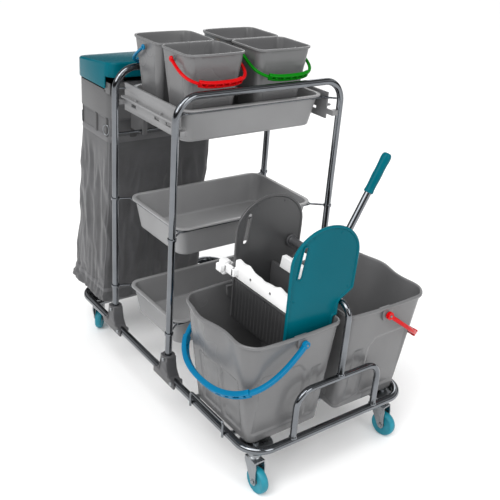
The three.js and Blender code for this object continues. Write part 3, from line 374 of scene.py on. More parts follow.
def sweep(points, section, normal, closed=False, scales=None):
    """A section of (along normal, across) pairs carried along a flat path."""
    points = [Vector(p) for p in points]
    normal = Vector(normal).normalized()
    count = len(points)
    rings = []
    for i, here in enumerate(points):
        before = points[i - 1] if closed or i else here
        after = points[(i + 1) % count] if closed or i < count - 1 else here
        tangent = ((here - before).normalized() + (after - here).normalized()).normalized()
        across = tangent.cross(normal)
        size = scales[i] if scales else 1
        rings.append([here + normal * a * size + across * b * size for a, b in section])
    return skin(rings, closed)


def circle(diameter, sides):
    angles = [2 * pi * k / sides for k in range(sides)]
    return [(diameter / 2 * cos(a), diameter / 2 * sin(a)) for a in angles]


def tube(route, bend, diameter, normal, closed=False, sides=24, flare=0):
    """A bent tube. flare thickens its ends like a weld bead, over that many millimetres."""
    points = fillet(route, bend, closed)
    scales = [1] * len(points)
    if flare:
        bead = ((0, 1.32), (0.45, 1.27), (0.8, 1.12), (1, 1))
        first, last = ([points[i] + (points[j] - points[i]).normalized() * flare * t for t, _ in bead]
                       for i, j in ((0, 1), (-1, -2)))
        grown = [scale for _, scale in bead]
        scales = grown + scales[1:-1] + grown[::-1]
        points = first + points[1:-1] + last[::-1]
    return sweep(points, circle(diameter, sides), normal, closed, scales)


def rounded(low_x, high_x, low_y, high_y, corner, z, steps=9, splits=(1, 1, 1, 1), far=None):
    """A rounded rectangle at height z. splits divides its four sides, from +Y. far is the radius at +Y."""
    far = corner if far is None else far
    centres = [(high_x - far, high_y - far, far), (low_x + far, high_y - far, far),
               (low_x + corner, low_y + corner, corner), (high_x - corner, low_y + corner, corner)]
    arcs = [[Vector((x + r * cos(a), y + r * sin(a), z))
             for a in ((q + k / steps) * pi / 2 for k in range(steps + 1))]
            for q, (x, y, r) in enumerate(centres)]
    ring = []
    for q, arc in enumerate(arcs):
        start, end = arc[-1], arcs[(q + 1) % 4][0]
        ring += arc + [start.lerp(end, k / splits[q]) for k in range(1, splits[q])]
    return ring


# ------------ chassis
ALONG, ACROSS, UP = (1, 0, 0), (0, 1, 0), (0, 0, 1)
SIDES = {"left": -1, "right": 1}
AROUND = ((1, 1), (-1, 1), (-1, -1), (1, -1))
CORNERS = {"front_left": (1, -1), "front_right": (1, 1), "rear_left": (-1, -1), "rear_right": (-1, 1)}
HALF_LENGTH, HALF_WIDTH = 510, 280
BASE_Z, BASE_TUBE, BASE_BEND = 151, 22, 65
FRONT_X, REAR_X = 85, -246
UPRIGHT_Z, UPRIGHT_FOOT, UPRIGHT_TUBE, UPRIGHT_BEND = 984, 163, 20, 65
PLATE_SPAN, PLATE_CORNER = (96, 4), 46      # the corner plates, in from the base tube's middle
PLATE_LEVELS = [(2, 141), (0, 141.6), (0, 144.4), (2, 145)]
BARS = {"front": 400, "middle": 215, "rear": -400}
BAR_HALF, BAR_Z, BAR_TUBE = 270, 147, 14
HOOP_TUBE, HOOP_FOOT = 18, 159              # the foot is 3 mm inside the base tube
HOOP_HALF, HOOP_Z, HOOP_BEND = 146, 302, 48
DIVIDER_FOOT, DIVIDER_Z, DIVIDER_BEND = 308, 517, 34
GUARD_X, GUARD_Y, GUARD_Z, GUARD_BEND, GUARD_WIRE = (235, 395), 294.8, (143, 190), 9, 7


def hoop(low, high):
    """The route of a hoop: up at its first end, across and down at the other."""
    (x1, y1, z1), (x2, y2, z2) = low, high
    return [(x1, y1, z1), (x1, y1, z2), (x2, y2, z2), (x2, y2, z1)]


def chromed(name, shape, node):
    make(name, shape, "trolley", "chrome_tube", [node])


def make_chassis():
    loop = [(a * HALF_LENGTH, b * HALF_WIDTH, BASE_Z) for a, b in AROUND]
    chromed("base_tube", tube(loop, BASE_BEND, BASE_TUBE, UP, True, 32), "base_loop")
    for place, (sx, sy) in CORNERS.items():
        x = sorted(sx * (HALF_LENGTH - d) for d in PLATE_SPAN)
        y = sorted(sy * (HALF_WIDTH - d) for d in PLATE_SPAN)
        plate = skin([rounded(x[0] + d, x[1] - d, y[0] + d, y[1] - d, PLATE_CORNER - d, z)
                      for d, z in PLATE_LEVELS])
        make(f"corner_plate_{place}", plate, "trolley", "zinc_steel")
    for place, x in BARS.items():
        bar = tube([(x, -BAR_HALF, BAR_Z), (x, BAR_HALF, BAR_Z)], 1, BAR_TUBE, ALONG, flare=6)
        make(f"cross_bar_{place}", bar, "trolley", "zinc_steel", [f"support_bar_{place}"])
    end = hoop((HALF_LENGTH, -HOOP_HALF, HOOP_FOOT), (HALF_LENGTH, HOOP_HALF, HOOP_Z))
    chromed("end_hoop_tube", tube(end, HOOP_BEND, HOOP_TUBE, ALONG, flare=7), "end_hoop")
    divider = [(HALF_LENGTH, 0, DIVIDER_FOOT), (HALF_LENGTH, 0, DIVIDER_Z), (BARS["middle"], 0, DIVIDER_Z),
               (BARS["middle"], 0, BASE_Z)]
    chromed("divider_tube", tube(divider, DIVIDER_BEND, HOOP_TUBE, ACROSS, flare=7), "divider_hoop")
    for side, s in SIDES.items():
        wire = hoop((GUARD_X[0], s * GUARD_Y, GUARD_Z[0]), (GUARD_X[1], s * GUARD_Y, GUARD_Z[1]))
        wire = tube(wire, GUARD_BEND, GUARD_WIRE, ACROSS, sides=16)
        chromed(f"guard_wire_{side}", wire, f"guard_rail_{side}")
    for end, x in (("front", FRONT_X), ("rear", REAR_X)):
        legs = hoop((x, -HALF_WIDTH, UPRIGHT_FOOT), (x, HALF_WIDTH, UPRIGHT_Z))
        legs = tube(legs, UPRIGHT_BEND, UPRIGHT_TUBE, ALONG, sides=32)
        chromed(f"{end}_upright_tube", legs, f"{end}_upright")
        for side, s in SIDES.items():
            make_clamp(end, side, x, s)


def make_clamp(end, side, x, s):
    """The moulded foot with a raised collar, webs down each flank and a pair of bolts."""
    refined(f"{end}_clamp_{side}", f"{end}_foot_{side}", "trolley", "clamp_plastic", 1.6)
    y = s * HALF_WIDTH
    half, top, low_z, collar_z = 15, 208, 161, 218
    collar = [(18.6, 0), (19.6, 0.8), (19.6, 5.2), (18.6, 6), (11, 6), (11, 0)]
    details = [turned(collar, (x, y, collar_z), "z", 36)]
    for face, lean, across in ((f, l, a) for f in (-1, 1) for l in (-1, 1) for a in (11, 20)):
        low_x, high_x = x + lean * (across + 15), x + lean * (across * 0.3 + 11)
        high_z = top - (across - 11) * 2.4
        ring = [(low_x - 1.1, low_z), (low_x + 1.1, low_z), (high_x + 1.1, high_z), (high_x - 1.1, high_z)]
        depth = y + face * half
        details.append(skin([[(a, depth + face * d, b) for a, b in ring] for d in (-1, 2.2)]))
    make(f"{end}_foot_detail_{side}", details, "trolley", "clamp_plastic")
    bolts = []
    for bolt_x, z in ((x, 211), (x + 45, 152)):
        for face in (-1, 1):
            head = [(6.5, 0), (6.5, face * 3.2), (5.6, face * 4.6), (0.01, face * 5.2)]
            bolts.append(turned(head, (bolt_x, y + face * (half + 0.5), z), "y", 24))
    make(f"{end}_foot_bolts_{side}", bolts, "trolley", "zinc_steel")


# ------------ trays
TRAY_X, TRAY_LENGTH, TRAY_WIDTH, TRAY_DEPTH, TRAY_TAPER, TRAY_CORNER = -88, 300, 490, 95, 13, 42
RIM_Z = {"top": 937, "middle": 600, "bottom": 302}
WIRE, WIRE_X, WIRE_Y, WIRE_DROP = 6, 143.3, 238.3, 8.3     # the wires that a tray hangs on, under its rim


def tub(x, y, length, width, rim_z, levels, taper_x, taper_y, corner, splits=(1, 1, 1, 1), shape=None):
    """An open tub skinned over levels of (inset, share of the taper, depth below the rim), inside first."""
    rings = []
    for inset, low, drop in levels:
        dx, dy = inset + low * taper_x, inset + low * taper_y
        ring = rounded(x - length / 2 + dx, x + length / 2 - dx, y - width / 2 + dy, y + width / 2 - dy,
                       max(corner - inset, 5), rim_z - drop, splits=splits)
        rings.append([shape(p, inset, low, x, y) for p in ring] if shape else ring)
    return skin(rings)


def wall_levels(rim, wall, depth, bead, bottom_radius, rows=8):
    """Levels for a tub: a rounded floor corner, the inner wall, a rolled rim and the outer wall."""
    bends = [(sin(a), cos(a)) for a in (pi / 2 * k / 6 for k in range(7))]
    levels = [(rim + wall + bottom_radius * (1 - sine), 1, depth - wall - bottom_radius * (1 - cosine))
              for sine, cosine in bends]
    reach = depth - wall - bottom_radius
    levels += [(rim + wall, 1 - k / rows * (reach - 3) / reach, reach - (reach - 3) * k / rows)
               for k in range(1, rows)]
    levels += [(inset, 0, drop) for inset, drop in (
        (rim + wall, 2.5), (rim + wall - 0.5, 0.9), (rim + wall - 1.8, 0), (1.8, 0), (0.5, 0.6), (0, 2),
        (0, bead - 0.8), (0.8, bead), (rim - 1, bead), (rim, bead + 1))]
    levels += [(rim, k / rows, bead + 1 + (depth - bead - 1 - bottom_radius) * k / rows)
               for k in range(1, rows + 1)]
    levels += [(rim + bottom_radius * (1 - cosine), 1, depth - bottom_radius * (1 - sine))
               for sine, cosine in bends[1:]]
    return levels


def leg_y(z):
    """How far out an upright's leg stands at height z."""
    rise = max(0, z - (UPRIGHT_Z - UPRIGHT_BEND))
    return HALF_WIDTH - UPRIGHT_BEND + sqrt(UPRIGHT_BEND ** 2 - rise ** 2)


def make_trays():
    levels = wall_levels(10, 3, TRAY_DEPTH, 5, 9)
    ferrule = [(10.6, -4), (12.4, -4), (12.9, -3), (12.9, 3), (12.4, 4), (10.6, 4)]
    for level, rim_z in RIM_Z.items():
        shape = tub(TRAY_X, 0, TRAY_LENGTH, TRAY_WIDTH, rim_z, levels, TRAY_TAPER, TRAY_TAPER, TRAY_CORNER)
        make(f"{level}_tray", shape, "trolley", "tray_plastic", [f"tray_{level}"])
        z = rim_z - WIRE_DROP
        loop = [(TRAY_X + a * WIRE_X, b * WIRE_Y, z) for a, b in AROUND]
        wires = [tube(loop, 12, WIRE, UP, True, 14)]
        for end, s in ((1, 1), (1, -1), (-1, 1), (-1, -1)):
            start = Vector((TRAY_X + end * (WIRE_X - 3), s * (WIRE_Y - 3), z))
            leg = Vector((FRONT_X if end > 0 else REAR_X, s * leg_y(z), z))
            tip = leg - (leg - start).normalized() * (UPRIGHT_TUBE / 2 + 0.6)
            wires.append(tube([start, tip], 1, WIRE, UP, sides=14))
            if level != "top":
                wires.append(turned(ferrule, leg, "z", 28))
        make(f"{level}_tray_wires", wires, "trolley", "chrome_tube", [f"tray_wires_{level}"])
    for side in SIDES:
        rail = refined(f"top_rail_{side}", f"side_rail_{side}", "trolley", "tray_plastic", 1.0)
        rail.data.materials[0] = plastic(f"rail_plastic_{side}", "747475", 0.36)


# ------------ small buckets
PAIL_LENGTH, PAIL_WIDTH, PAIL_HEIGHT, PAIL_Z = 147, 190, 234, 1079.3
PAIL_TAPER, PAIL_CORNER, PAIL_BOW, PAIL_PANEL = (26, 20), 24, 6, 1.6
PAIL_PLACE, PAIL_SPREAD = (TRAY_X - 6, -24), (74.1, 113)
PAIL_PIVOT = PAIL_Z - 23
PAIL_HANDLE = {"half_span": 98.5, "reach": 110, "squareness": 0.66, "swelling": 6, "points": 240}
PAIL_REST = {1: 104.9, -1: 77.9}     # along X, from a pivot to the upright that its handle rests on
REST_GAP = 14.8                      # from that upright's middle to the handle's
PAIL_COLOURS = {"front_left": "red_plastic", "front_right": "green_plastic",
                "rear_left": "blue_plastic", "rear_right": "yellow_plastic"}


def pail_shape(point, inset, low, x, y):
    """A bowed end under the handle, and flat panels set into the sides between round corner posts."""
    ex = (point.x - x) / (PAIL_LENGTH / 2 - inset - low * PAIL_TAPER[0])
    ey = (point.y - y) / (PAIL_WIDTH / 2 - inset - low * PAIL_TAPER[1])
    end = 1 if x > TRAY_X else -1
    if ex * end > 0:
        point = point + Vector((end * PAIL_BOW * (1 - low) * max(0, 1 - ey * ey), 0, 0))
    if inset < 3.9:     # the rim
        return point
    set_in = PAIL_PANEL * smooth(low, 0.1, 0.16) * (1 - smooth(low, 0.93, 0.98))
    out = point.copy()
    if abs(ex) > 0.97:
        out.x -= copysign(set_in * (1 - smooth(abs(ey), 0.72, 0.78)), ex)
    if abs(ey) > 0.97:
        out.y -= copysign(set_in * (1 - smooth(abs(ex), 0.6, 0.68)), ey)
    return out


def bail_path(half_span, reach, squareness, swelling, points):
    """A handle's middle line, from pivot to pivot: a squared, swelling half-ellipse."""
    path = []
    for k in range(points + 1):
        a = pi * k / points
        c = cos(a)
        spread = half_span * copysign(abs(c) ** squareness, c) + swelling * sin(2 * a)
        path.append(Vector((reach * sin(a) ** squareness, spread, 0)))
    return path


def resampled(path, count):
    """The same line in evenly spaced points."""
    lengths = np.concatenate([[0], np.cumsum([(b - a).length for a, b in zip(path, path[1:])])])
    array = np.array([tuple(p) for p in path])
    wanted = np.linspace(0, lengths[-1], count)
    return [Vector([np.interp(w, lengths, array[:, k]) for k in range(3)]) for w in wanted]


def flat_bar(width, height, corner=0.35):
    """A rounded strip section: width in the plane of the path, height along its normal."""
    r = corner * min(width, height)
    return [(p.y, p.x) for p in rounded(-width / 2, width / 2, -height / 2, height / 2, r, 0, steps=3)]


def handle(path, arm, grip, share, slots, eye, eye_depth, stub):
    """A bail: flat arms, a grip of two rails with bars between them, and an eye at each end."""
    points = resampled(path, 121)
    count = len(points)
    first, last = round(count * (0.5 - share / 2)), round(count * (0.5 + share / 2))
    grip_width, grip_height = grip
    shapes = [sweep(part, flat_bar(*arm), UP) for part in (points[:first + 2], points[last - 2:])]
    middle = points[first - 1:last + 2]
    rail = flat_bar(grip_width, grip_height * 0.34)
    for offset in (-0.36, 0.36):
        shapes.append(sweep([p + Vector((0, 0, offset * grip_height)) for p in middle], rail, UP))
    for k in range(slots + 1):
        at = min(max(round((len(middle) - 1) * k / slots), 1), len(middle) - 2)
        shapes.append(sweep(middle[at - 1:at + 2], flat_bar(grip_width * 0.94, grip_height * 0.9, 0.2), UP))
    d, r, b = eye_depth / 2, eye / 2, stub / 2
    ring = [(b, -d), (r - 0.8, -d), (r, -d + 0.8), (r, d - 0.8), (r - 0.8, d), (b, d)]
    return shapes + [turned(ring, end, "y", 30) for end in (points[0], points[-1])]


def make_pails():
    levels = wall_levels(4, 2.5, PAIL_HEIGHT, 6, 10, rows=26)
    parts = handle(bail_path(**PAIL_HANDLE), (9, 6), (11, 17), 0.36, 6, 15, 5, 7.2)
    above = PAIL_PIVOT - UPRIGHT_Z
    for place, (sx, sy) in CORNERS.items():
        x, y = PAIL_PLACE[0] + sx * PAIL_SPREAD[0], PAIL_PLACE[1] + sy * PAIL_SPREAD[1]
        shapes = [tub(x, y, PAIL_LENGTH, PAIL_WIDTH, PAIL_Z, levels, *PAIL_TAPER, PAIL_CORNER,
                      (44, 58, 44, 58), pail_shape)]
        for s in (-1, 1):
            boss = [(9.5, s * 84), (9.5, s * 88), (7.5, s * 89.5), (7.5, s * 95.7)]
            stub = [(3.2, s * 91), (3.2, s * 100.6), (2.4, s * 101)]
            shapes += [turned(boss, (x, y, PAIL_PIVOT), "y", 28), turned(stub, (x, y, PAIL_PIVOT), "y", 20)]
        make(f"pail_{place}_shell", shapes, f"pail_{place}", "bucket_plastic", [f"small_bucket_{place}"])
        away = PAIL_REST[sx]
        droop = acos(REST_GAP / hypot(away, above)) - atan2(away, above)
        pose = (Matrix.Translation((x, y, PAIL_PIVOT))
                @ Matrix.Rotation(droop if sx > 0 else pi - droop, 4, "Y"))
        make(f"pail_{place}_handle", [moved(s, pose) for s in parts], f"pail_handle_{place}",
             PAIL_COLOURS[place], [f"small_handle_{place}"])


# ------------ mop buckets
BUCKET_X, BUCKET_Z, BUCKET_BOTTOM = 346, 480, 154.5
BUCKET_LENGTH, BUCKET_WIDTH, BUCKET_INNER = 318, 302, -10.5     # the inner side faces the other bucket
BUCKET_DEPTH = BUCKET_Z - BUCKET_BOTTOM
END_TAPER, OUTER_TAPER, INNER_TAPER = 26, 40, 14
OUTER_CORNER, INNER_CORNER, FOOT_SHRINK = 46, 24, 20
BUCKET_BULGE, BUCKET_BOW = 19, 9
BUCKET_PIVOT = (-147.5, 455)
BUCKET_BEAD = [(8.6, -3.2), (7.4, -1.3), (5.6, -0.3), (4.2, 0), (2.4, -0.5), (0.9, -1.8), (0.1, -4),
               (0, -6.4), (0.6, -8.6), (1.8, -9.6), (4.6, -9.6), (6, -11)]
BAIL = {"half_span": 173.5, "reach": 238, "squareness": 0.85, "swelling": 22, "points": 360}
BAIL_ANGLE = 37


def window(value, low, high, edge):
    return smooth(value, low, low + edge) * (1 - smooth(value, high - edge, high))


def bucket_ring(inset, low, z, panels=False):
    """The bucket's outline at height z. low is the share of its taper, 0 at the rim and 1 at the bottom."""
    ends, corner = inset + low * END_TAPER, max(OUTER_CORNER - inset - low * FOOT_SHRINK, 8)
    ring = rounded(BUCKET_X - BUCKET_LENGTH / 2 + ends, BUCKET_X + BUCKET_LENGTH / 2 - ends,
                   BUCKET_INNER - BUCKET_WIDTH + inset + low * OUTER_TAPER,
                   BUCKET_INNER - inset - low * INNER_TAPER, corner, z, 10, (40, 56, 64, 56),
                   INNER_CORNER - inset)
    middle = BUCKET_INNER - BUCKET_WIDTH / 2
    made = []
    for p in ring:
        along, across = (p.x - BUCKET_X) / (BUCKET_LENGTH / 2), (p.y - middle) / (BUCKET_WIDTH / 2)
        crest = exp(-(((along + 0.26) / 0.34) ** 2)) + 0.3 * exp(-(((along - 0.64) / 0.2) ** 2))
        out = p.copy()
        out.y -= BUCKET_BULGE * crest * max(0, -across) ** 3 * (1 - low)
        out.x += copysign(abs(along) ** 5 * BUCKET_BOW * max(0, 1 - across * across), along)
        if panels:
            out += panel_shift(along, across, z)
        made.append(out)
    return made


def panel_shift(along, across, z):
    """Recesses in the wall: a broad arched one on each end, a narrow one beside it, two on the outer side."""
    up = (z - BUCKET_BOTTOM) / BUCKET_DEPTH
    shift = Vector((0, 0, 0))
    if abs(along) > 0.62 and -0.98 < across < 0.99:
        arch = 0.70 - 0.10 * smooth(abs(across + 0.22), 0.35, 0.62)
        broad = window(across, -0.66, 0.34, 0.035) * window(up, 0.09, arch, 0.022)
        narrow = window(across, 0.46, 0.68, 0.03) * window(up, 0.09, 0.62, 0.022)
        shift.x -= copysign(3.2 * broad + 2.4 * narrow, along)
    if across < -0.62:
        for start, end in ((-0.52, 0.02), (0.1, 0.6)):
            shift.y += 2.8 * window(along, start, end, 0.03) * window(up, 0.08, 0.6, 0.022)
    return shift


def bucket_shell():
    rim, wall, corner, inner_rows, rows = 6, 3, 10, 12, 96
    bends = [(sin(a), cos(a)) for a in (pi / 2 * k / 5 for k in range(6))]
    rings = [bucket_ring(rim + wall + corner * (1 - sine), 1, BUCKET_BOTTOM + wall + corner * (1 - cosine))
             for sine, cosine in bends]
    base, rise = BUCKET_BOTTOM + wall + corner, BUCKET_DEPTH - wall - corner - 5
    rings += [bucket_ring(rim + wall, 1 - k / inner_rows, base + rise * k / inner_rows)
              for k in range(1, inner_rows + 1)]
    rings += [bucket_ring(inset, 0, BUCKET_Z + dz) for inset, dz in BUCKET_BEAD]
    rings += [bucket_ring(rim, k / rows, BUCKET_Z - 11 - (BUCKET_DEPTH - 11 - corner) * k / rows, True)
              for k in range(1, rows + 1)]
    rings += [bucket_ring(rim + corner * (1 - cosine), 1, BUCKET_BOTTOM + corner * (1 - sine))
              for sine, cosine in bends[1:]]
    return skin(rings)


def pivot_boss(end):
    """The block that carries the handle's stub: a U-shaped skirt hanging from under the rim."""
    y, z = BUCKET_PIVOT
    inner, outer = BUCKET_X + end * 148, BUCKET_X + end * 166.5
    arc = [(y + 17 * cos(a), z - 4 - 17 * sin(a)) for a in np.linspace(0, pi, 17)]
    path = [(y + 19, BUCKET_Z - 8), *arc, (y - 19, BUCKET_Z - 8)]
    levels = [(inner, 1), (outer - end * 1.5, 1), (outer, 0.93)]
    rings = [[(x, y + (a - y) * f, z + (b - z) * f) for a, b in path] for x, f in levels]
    stub = [(3.7, outer - end * 4 - BUCKET_X), (3.7, end * 180.4), (2.8, end * 181.2)]
    return [skin(rings), turned(stub, (BUCKET_X, y, z), "x", 24)]


def make_mop_buckets():
    shapes = [bucket_shell(), *pivot_boss(1), *pivot_boss(-1)]
    parts = handle(bail_path(**BAIL), (15, 12), (15, 19), 0.46, 13, 22, 10, 8.2)
    mirror = Matrix.Scale(-1, 4, ACROSS)
    for side, letter, colour in (("left", "a", "blue_plastic"), ("right", "b", "red_plastic")):
        s = SIDES[side]
        placed = shapes if s < 0 else [moved(shape, mirror) for shape in shapes]
        make(f"bucket_{side}", placed, f"mop_bucket_{letter}", "bucket_plastic", [f"mop_bucket_{side}"])
        turn = Matrix.Rotation(s * pi / 2, 4, "Z") @ Matrix.Rotation(radians(BAIL_ANGLE), 4, "Y")
        pose = Matrix.Translation((BUCKET_X, -s * BUCKET_PIVOT[0], BUCKET_PIVOT[1])) @ turn
        make(f"bucket_handle_{side}", [moved(p, pose) for p in parts], f"mop_bail_{letter}", colour,
             [f"mop_handle_{side}"])


# ------------ wringer
PLATE_X = {"front": 475, "back": 246}
SHAFT = (3, 600)                # Y and Z of the lever's axis
SHAFT_SPAN = (249.3, 471.7)
SLOT, SLOT_LEAN = (-149, 663), 0.16
PLATE_PROFILE = [(8.5, 1.5), (7.2, 3.4), (5.8, 4.4), (2.6, 4.4), (0.8, 3.4), (0, 1.6), (0, -1.5), (0.9, -2.9),
                 (5.6, -2.9), (7, -2.4), (8.2, -1.2)]     # its rolled edge: distance in from the edge, height
PLATE_SCREWS = [(-118, 722), (-30, 722), (-165, 560), (16, 560)]
SCREW = [(3.8, 0.2), (3.8, 0.6), (3.2, 1.0), (2.2, 1.0), (1.8, 0.6), (0.01, 0.6)]
LEVER_X, LEVER_ANGLE, LEVER_END, GRIP_START = 418, 28, 297.6, 208.3
GRIP = [(9.8, 0), (11.4, 0), (12.6, 1.6), (12.8, 6), (12, 14), (12.2, 28), (12.9, 48), (12.4, 66),
        (12.7, 82), (13.5, 94), (13.3, 101), (12.2, 106.5), (9.4, 110.6), (5, 112), (0.01, 112.2)]
BEAM_Y, BEAM_X = (-181.5, -164.5), (249.5, 471.5)
BEAM_LOW, BEAM_TOP = 528.3, 580.3
KNOB = [(203, 262, -198, -186, 538.1, 562.1), (251, 265, -198, -173, 538.1, 562.1),
        (203, 227, -214, -170, 539.1, 561.1), (203, 227, -204, -180, 530.1, 570.1)]


def inward(outline, distance):
    """The outline moved in by a distance."""
    count = len(outline)
    made = []
    for i in range(count):
        a, b, c = outline[i - 1], outline[i], outline[(i + 1) % count]
        d1, d2 = (b - a).normalized(), (c - b).normalized()
        normal = Vector((-(d1.y + d2.y), d1.x + d2.x, 0))
        normal.normalize()
        made.append(b + normal * distance / max(0.5, normal.dot(Vector((-d1.y, d1.x, 0)))))
    return made


def plate_outline():
    """A plate's outline in Y and Z: an arch on a leg, stepped in on the side of the other bucket."""
    corners = [((-185, 402, 0), 9), ((-26, 402, 0), 9), ((-26, 482, 0), 3), ((-12, 482, 0), 4),
               ((-12, 523, 0), 12), ((35, 551, 0), 14)]
    angles = np.linspace(0.06, pi - 0.06, 60)
    arch = [(-73.5 + 111.5 * cos(a), 655 + 92 * sin(a), 0) for a in angles]
    route = [Vector(p) for p in (*(corner for corner, _ in corners), (38, 640, 0), *arch, (-185, 640, 0))]
    made = []
    for i, (_, radius) in enumerate(corners):
        made += fillet([route[i - 1], route[i], route[i + 1]], radius, step=12)[1:-1]
    return made + route[len(corners):]


def side_plate(end, outer):
    """A plate with a rolled edge all round. outer is +1 or -1, the side that faces out."""
    outline = plate_outline()
    return skin([[(PLATE_X[end] + outer * height, p.x, p.y) for p in inward(outline, inset)]
                 for inset, height in PLATE_PROFILE])


def slot_ring(half_width, half_height):
    ring = rounded(-half_width, half_width, -half_height, half_height, half_width * 0.95, 0, steps=8)
    c, s = cos(-SLOT_LEAN), sin(-SLOT_LEAN)
    return [Vector((SLOT[0] + p.x * c - p.y * s, SLOT[1] + p.x * s + p.y * c, 0)) for p in ring]


def make_plates():
    for end, slot, outer, lip_base, lip_height, screw_base in (
            ("front", "teal_plastic", 1, 1.4, 3, 1.4), ("back", "dark_plastic", -1, 1.3, 1.55, 1.2)):
        x = PLATE_X[end]
        plate = make(f"{end}_side_plate", side_plate(end, outer), "wringer", slot, [f"wringer_{end}_plate"])
        hole = skin([[(x + d, p.x, p.y) for p in slot_ring(6.5, 43)] for d in (-9, 9)])
        journal = turned([(7.6, -9), (7.6, 9)], (x, *SHAFT), "x", 32)
        carve(plate, [hole, journal] if end == "back" else [hole])
        settle(plate, "wringer", slot)
        for polygon in plate.data.polygons:
            polygon.use_smooth = abs(polygon.normal.x) < 0.999
        lip = [[(x + lip_base + min(height, lip_height), p.x, p.y) for p in slot_ring(half, half + 36.6)]
               for half, height in ((6.6, 0.2), (6.6, 2.4), (7.4, 3.0), (8.8, 3.0), (9.8, 2.2), (10.2, -0.3))]
        make(f"{end}_slot_lip", skin(lip, caps=(False, False)), "wringer", slot)
        screws = [turned(SCREW, (x + screw_base, y, z), "x", 24) for y, z in PLATE_SCREWS]
        make(f"{end}_plate_screws", screws, "wringer", slot if end == "front" else "clamp_plastic")


def make_lever():
    low, high = SHAFT_SPAN
    flange = [(0.01, -5.6), (6.4, -5.6), (7, -5), (7, 0), (17, 0), (18, 1), (18, 5), (17, 6), (12.4, 6),
              (11.4, 9), (11, 11)]
    shaft = [(r, low + h) for r, h in flange]
    for k in range(1, 8):
        at = low + 11 + (high - low - 18) * k / 8
        shaft += [(11, at - 1.6), (10.2, at - 0.9), (10.2, at + 0.9), (11, at + 1.6)]
    shaft += [(11, high - 1), (10.2, high), (7, high), (7, high + 0.8), (6.4, high + 1), (0.01, high + 1)]
    make("lever_shaft", turned(shaft, (0, *SHAFT), "x", 40), "lever", "clamp_plastic", ["wringer_shaft"])
    pose = Matrix.Translation((LEVER_X, *SHAFT)) @ Matrix.Rotation(-radians(LEVER_ANGLE), 4, "X")
    socket = [(9.6, 9), (14.5, 9), (15.5, 10.5), (13.6, 26), (12, 29), (9.6, 29)]
    rod = [(0.01, 9), (9.5, 9), (9.5, LEVER_END), (0.01, LEVER_END)]
    grip = dense([(r, GRIP_START + h) for r, h in GRIP])
    for name, profile, sides, slot, nodes in (
            ("socket", socket, 36, "clamp_plastic", ()), ("bar", rod, 36, "chrome_tube", ["lever_tube"]),
            ("handle", grip, 40, "teal_plastic", ["lever_grip"])):
        make(f"lever_{name}", moved(turned(profile, (0, 0, 0), "z", sides), pose), "lever", slot, nodes)


def make_wringer():
    make_plates()
    basket = refined("wringer_basket", "basket", "wringer", "dark_plastic", 1.0)
    basket.data.materials[0] = plastic("basket_plastic", "2f2f30", 0.4)
    make_basket_ribs()
    make_beam()
    refined("press_plate", "press_face", "press", "dark_plastic", 1.0)
    refined("press_carriage", "carriage", "press", "white_plastic", 2.0)
    make_lever()


def make_basket_ribs():
    """Upright flutes moulded on the basket's outer wall, and a lip along its top edge."""
    ribs = []
    for k in range(15):
        x = 262 + k * 14.2
        profile = [(x - 2.6, -181.8), (x - 1.2, -182.7), (x + 1.2, -182.7), (x + 2.6, -181.8)]
        ribs.append(skin([[(a, b, z) for a, b in profile] for z in (412, 416, 516, 520)]))
    edge = rounded(-184.4, -177.6, 522.4, 528.2, 1.6, 0, steps=3)
    lip = [[(x, p.x, p.y) for p in edge] for x in (250, 471)]
    flutes = make("basket_flutes", [*ribs, skin(lip)], "wringer", "dark_plastic", angle=50)
    flutes.data.materials[0] = plastic("flute_plastic", "363637", 0.36)


def make_beam():
    """The white jaw: a scalloped bar on the basket's wall, with an arm round the back plate to a knob."""
    start, end = BEAM_X
    rings = []
    for k in range(61):
        top = BEAM_TOP - np.interp(k / 60, (0, 0.2, 0.38, 0.6, 0.78, 1), (0, 1, 12, 12, 2, 6))
        top += 1.6 * cos(pi * 10 * k / 60) - 1.6
        rings.append([(start + (end - start) * k / 60, p.x, p.y)
                      for p in rounded(*BEAM_Y, BEAM_LOW, top, 3.5, 0, steps=4)])
    make("guide_bar", skin(rings), "wringer", "white_plastic", ["wringer_beam"])
    # Dark discs on the bar's outer face are painted shade: they stand for the shade inside two holes through
    # the bar.
    hole_shade_disc = [(3.6, -181.2), (3.6, -182.2), (2.8, -182.6), (0.01, -182.6)]
    hole_shade_discs = [turned(hole_shade_disc, (x, 0, 553), "y", 24) for x in (318, 402)]
    make("guide_bar_hole_shade", hole_shade_discs, "wringer", "clamp_plastic")
    for k, corners in enumerate(KNOB):
        make(f"guide_knob_{k}", box(*corners), "wringer", "white_plastic", bevel=3.2)


def dense(profile, times=4):
    """A profile with smoothly interpolated points between its own."""
    p = np.array(profile)
    made = []
    for i in range(len(p) - 1):
        a, b, c, d = p[max(i - 1, 0)], p[i], p[i + 1], p[min(i + 2, len(p) - 1)]
        for k in range(times):
            t = k / times
            made.append(tuple(0.5 * (2 * b + (c - a) * t + (2 * a - 5 * b + 4 * c - d) * t * t
                                     + (3 * b - a - 3 * c + d) * t ** 3)))
    return [(max(r, 0.01), h) for r, h in made] + [profile[-1]]


# ------------ bag holder
# The ring's rear, front, left and right sides, the bag's gaps to them, and the bag's sides at its floor.
RING, RING_AIR, BAG_FOOT = (-528, -310, -264, 114), (5.4, -5.4, 5.4, -5.4), (-598, -362, -262, 104)
BAG_BOTTOM, BAG_MOUTH, BAG_WAIST, BAG_CORNER = 168, 878, 775, 26
BAG_ROWS, FLOOR_ROWS, TURN_ROWS, FLOOR_TURN = 110, 14, 5, 10
BAG_MIDDLE = (-419, -75)
SEAMS = [(-534, -262), (-330, -262), (-534, 110), (-330, 110)]
# True: with a hook.
STRAPS = [(-520, -262, True), (-420, -262, False), (-345, -262, True), (-560, -180, True), (-560, 30, True),
          (-330, -180, False), (-330, 30, False), (-520, 110, True), (-345, 110, True)]


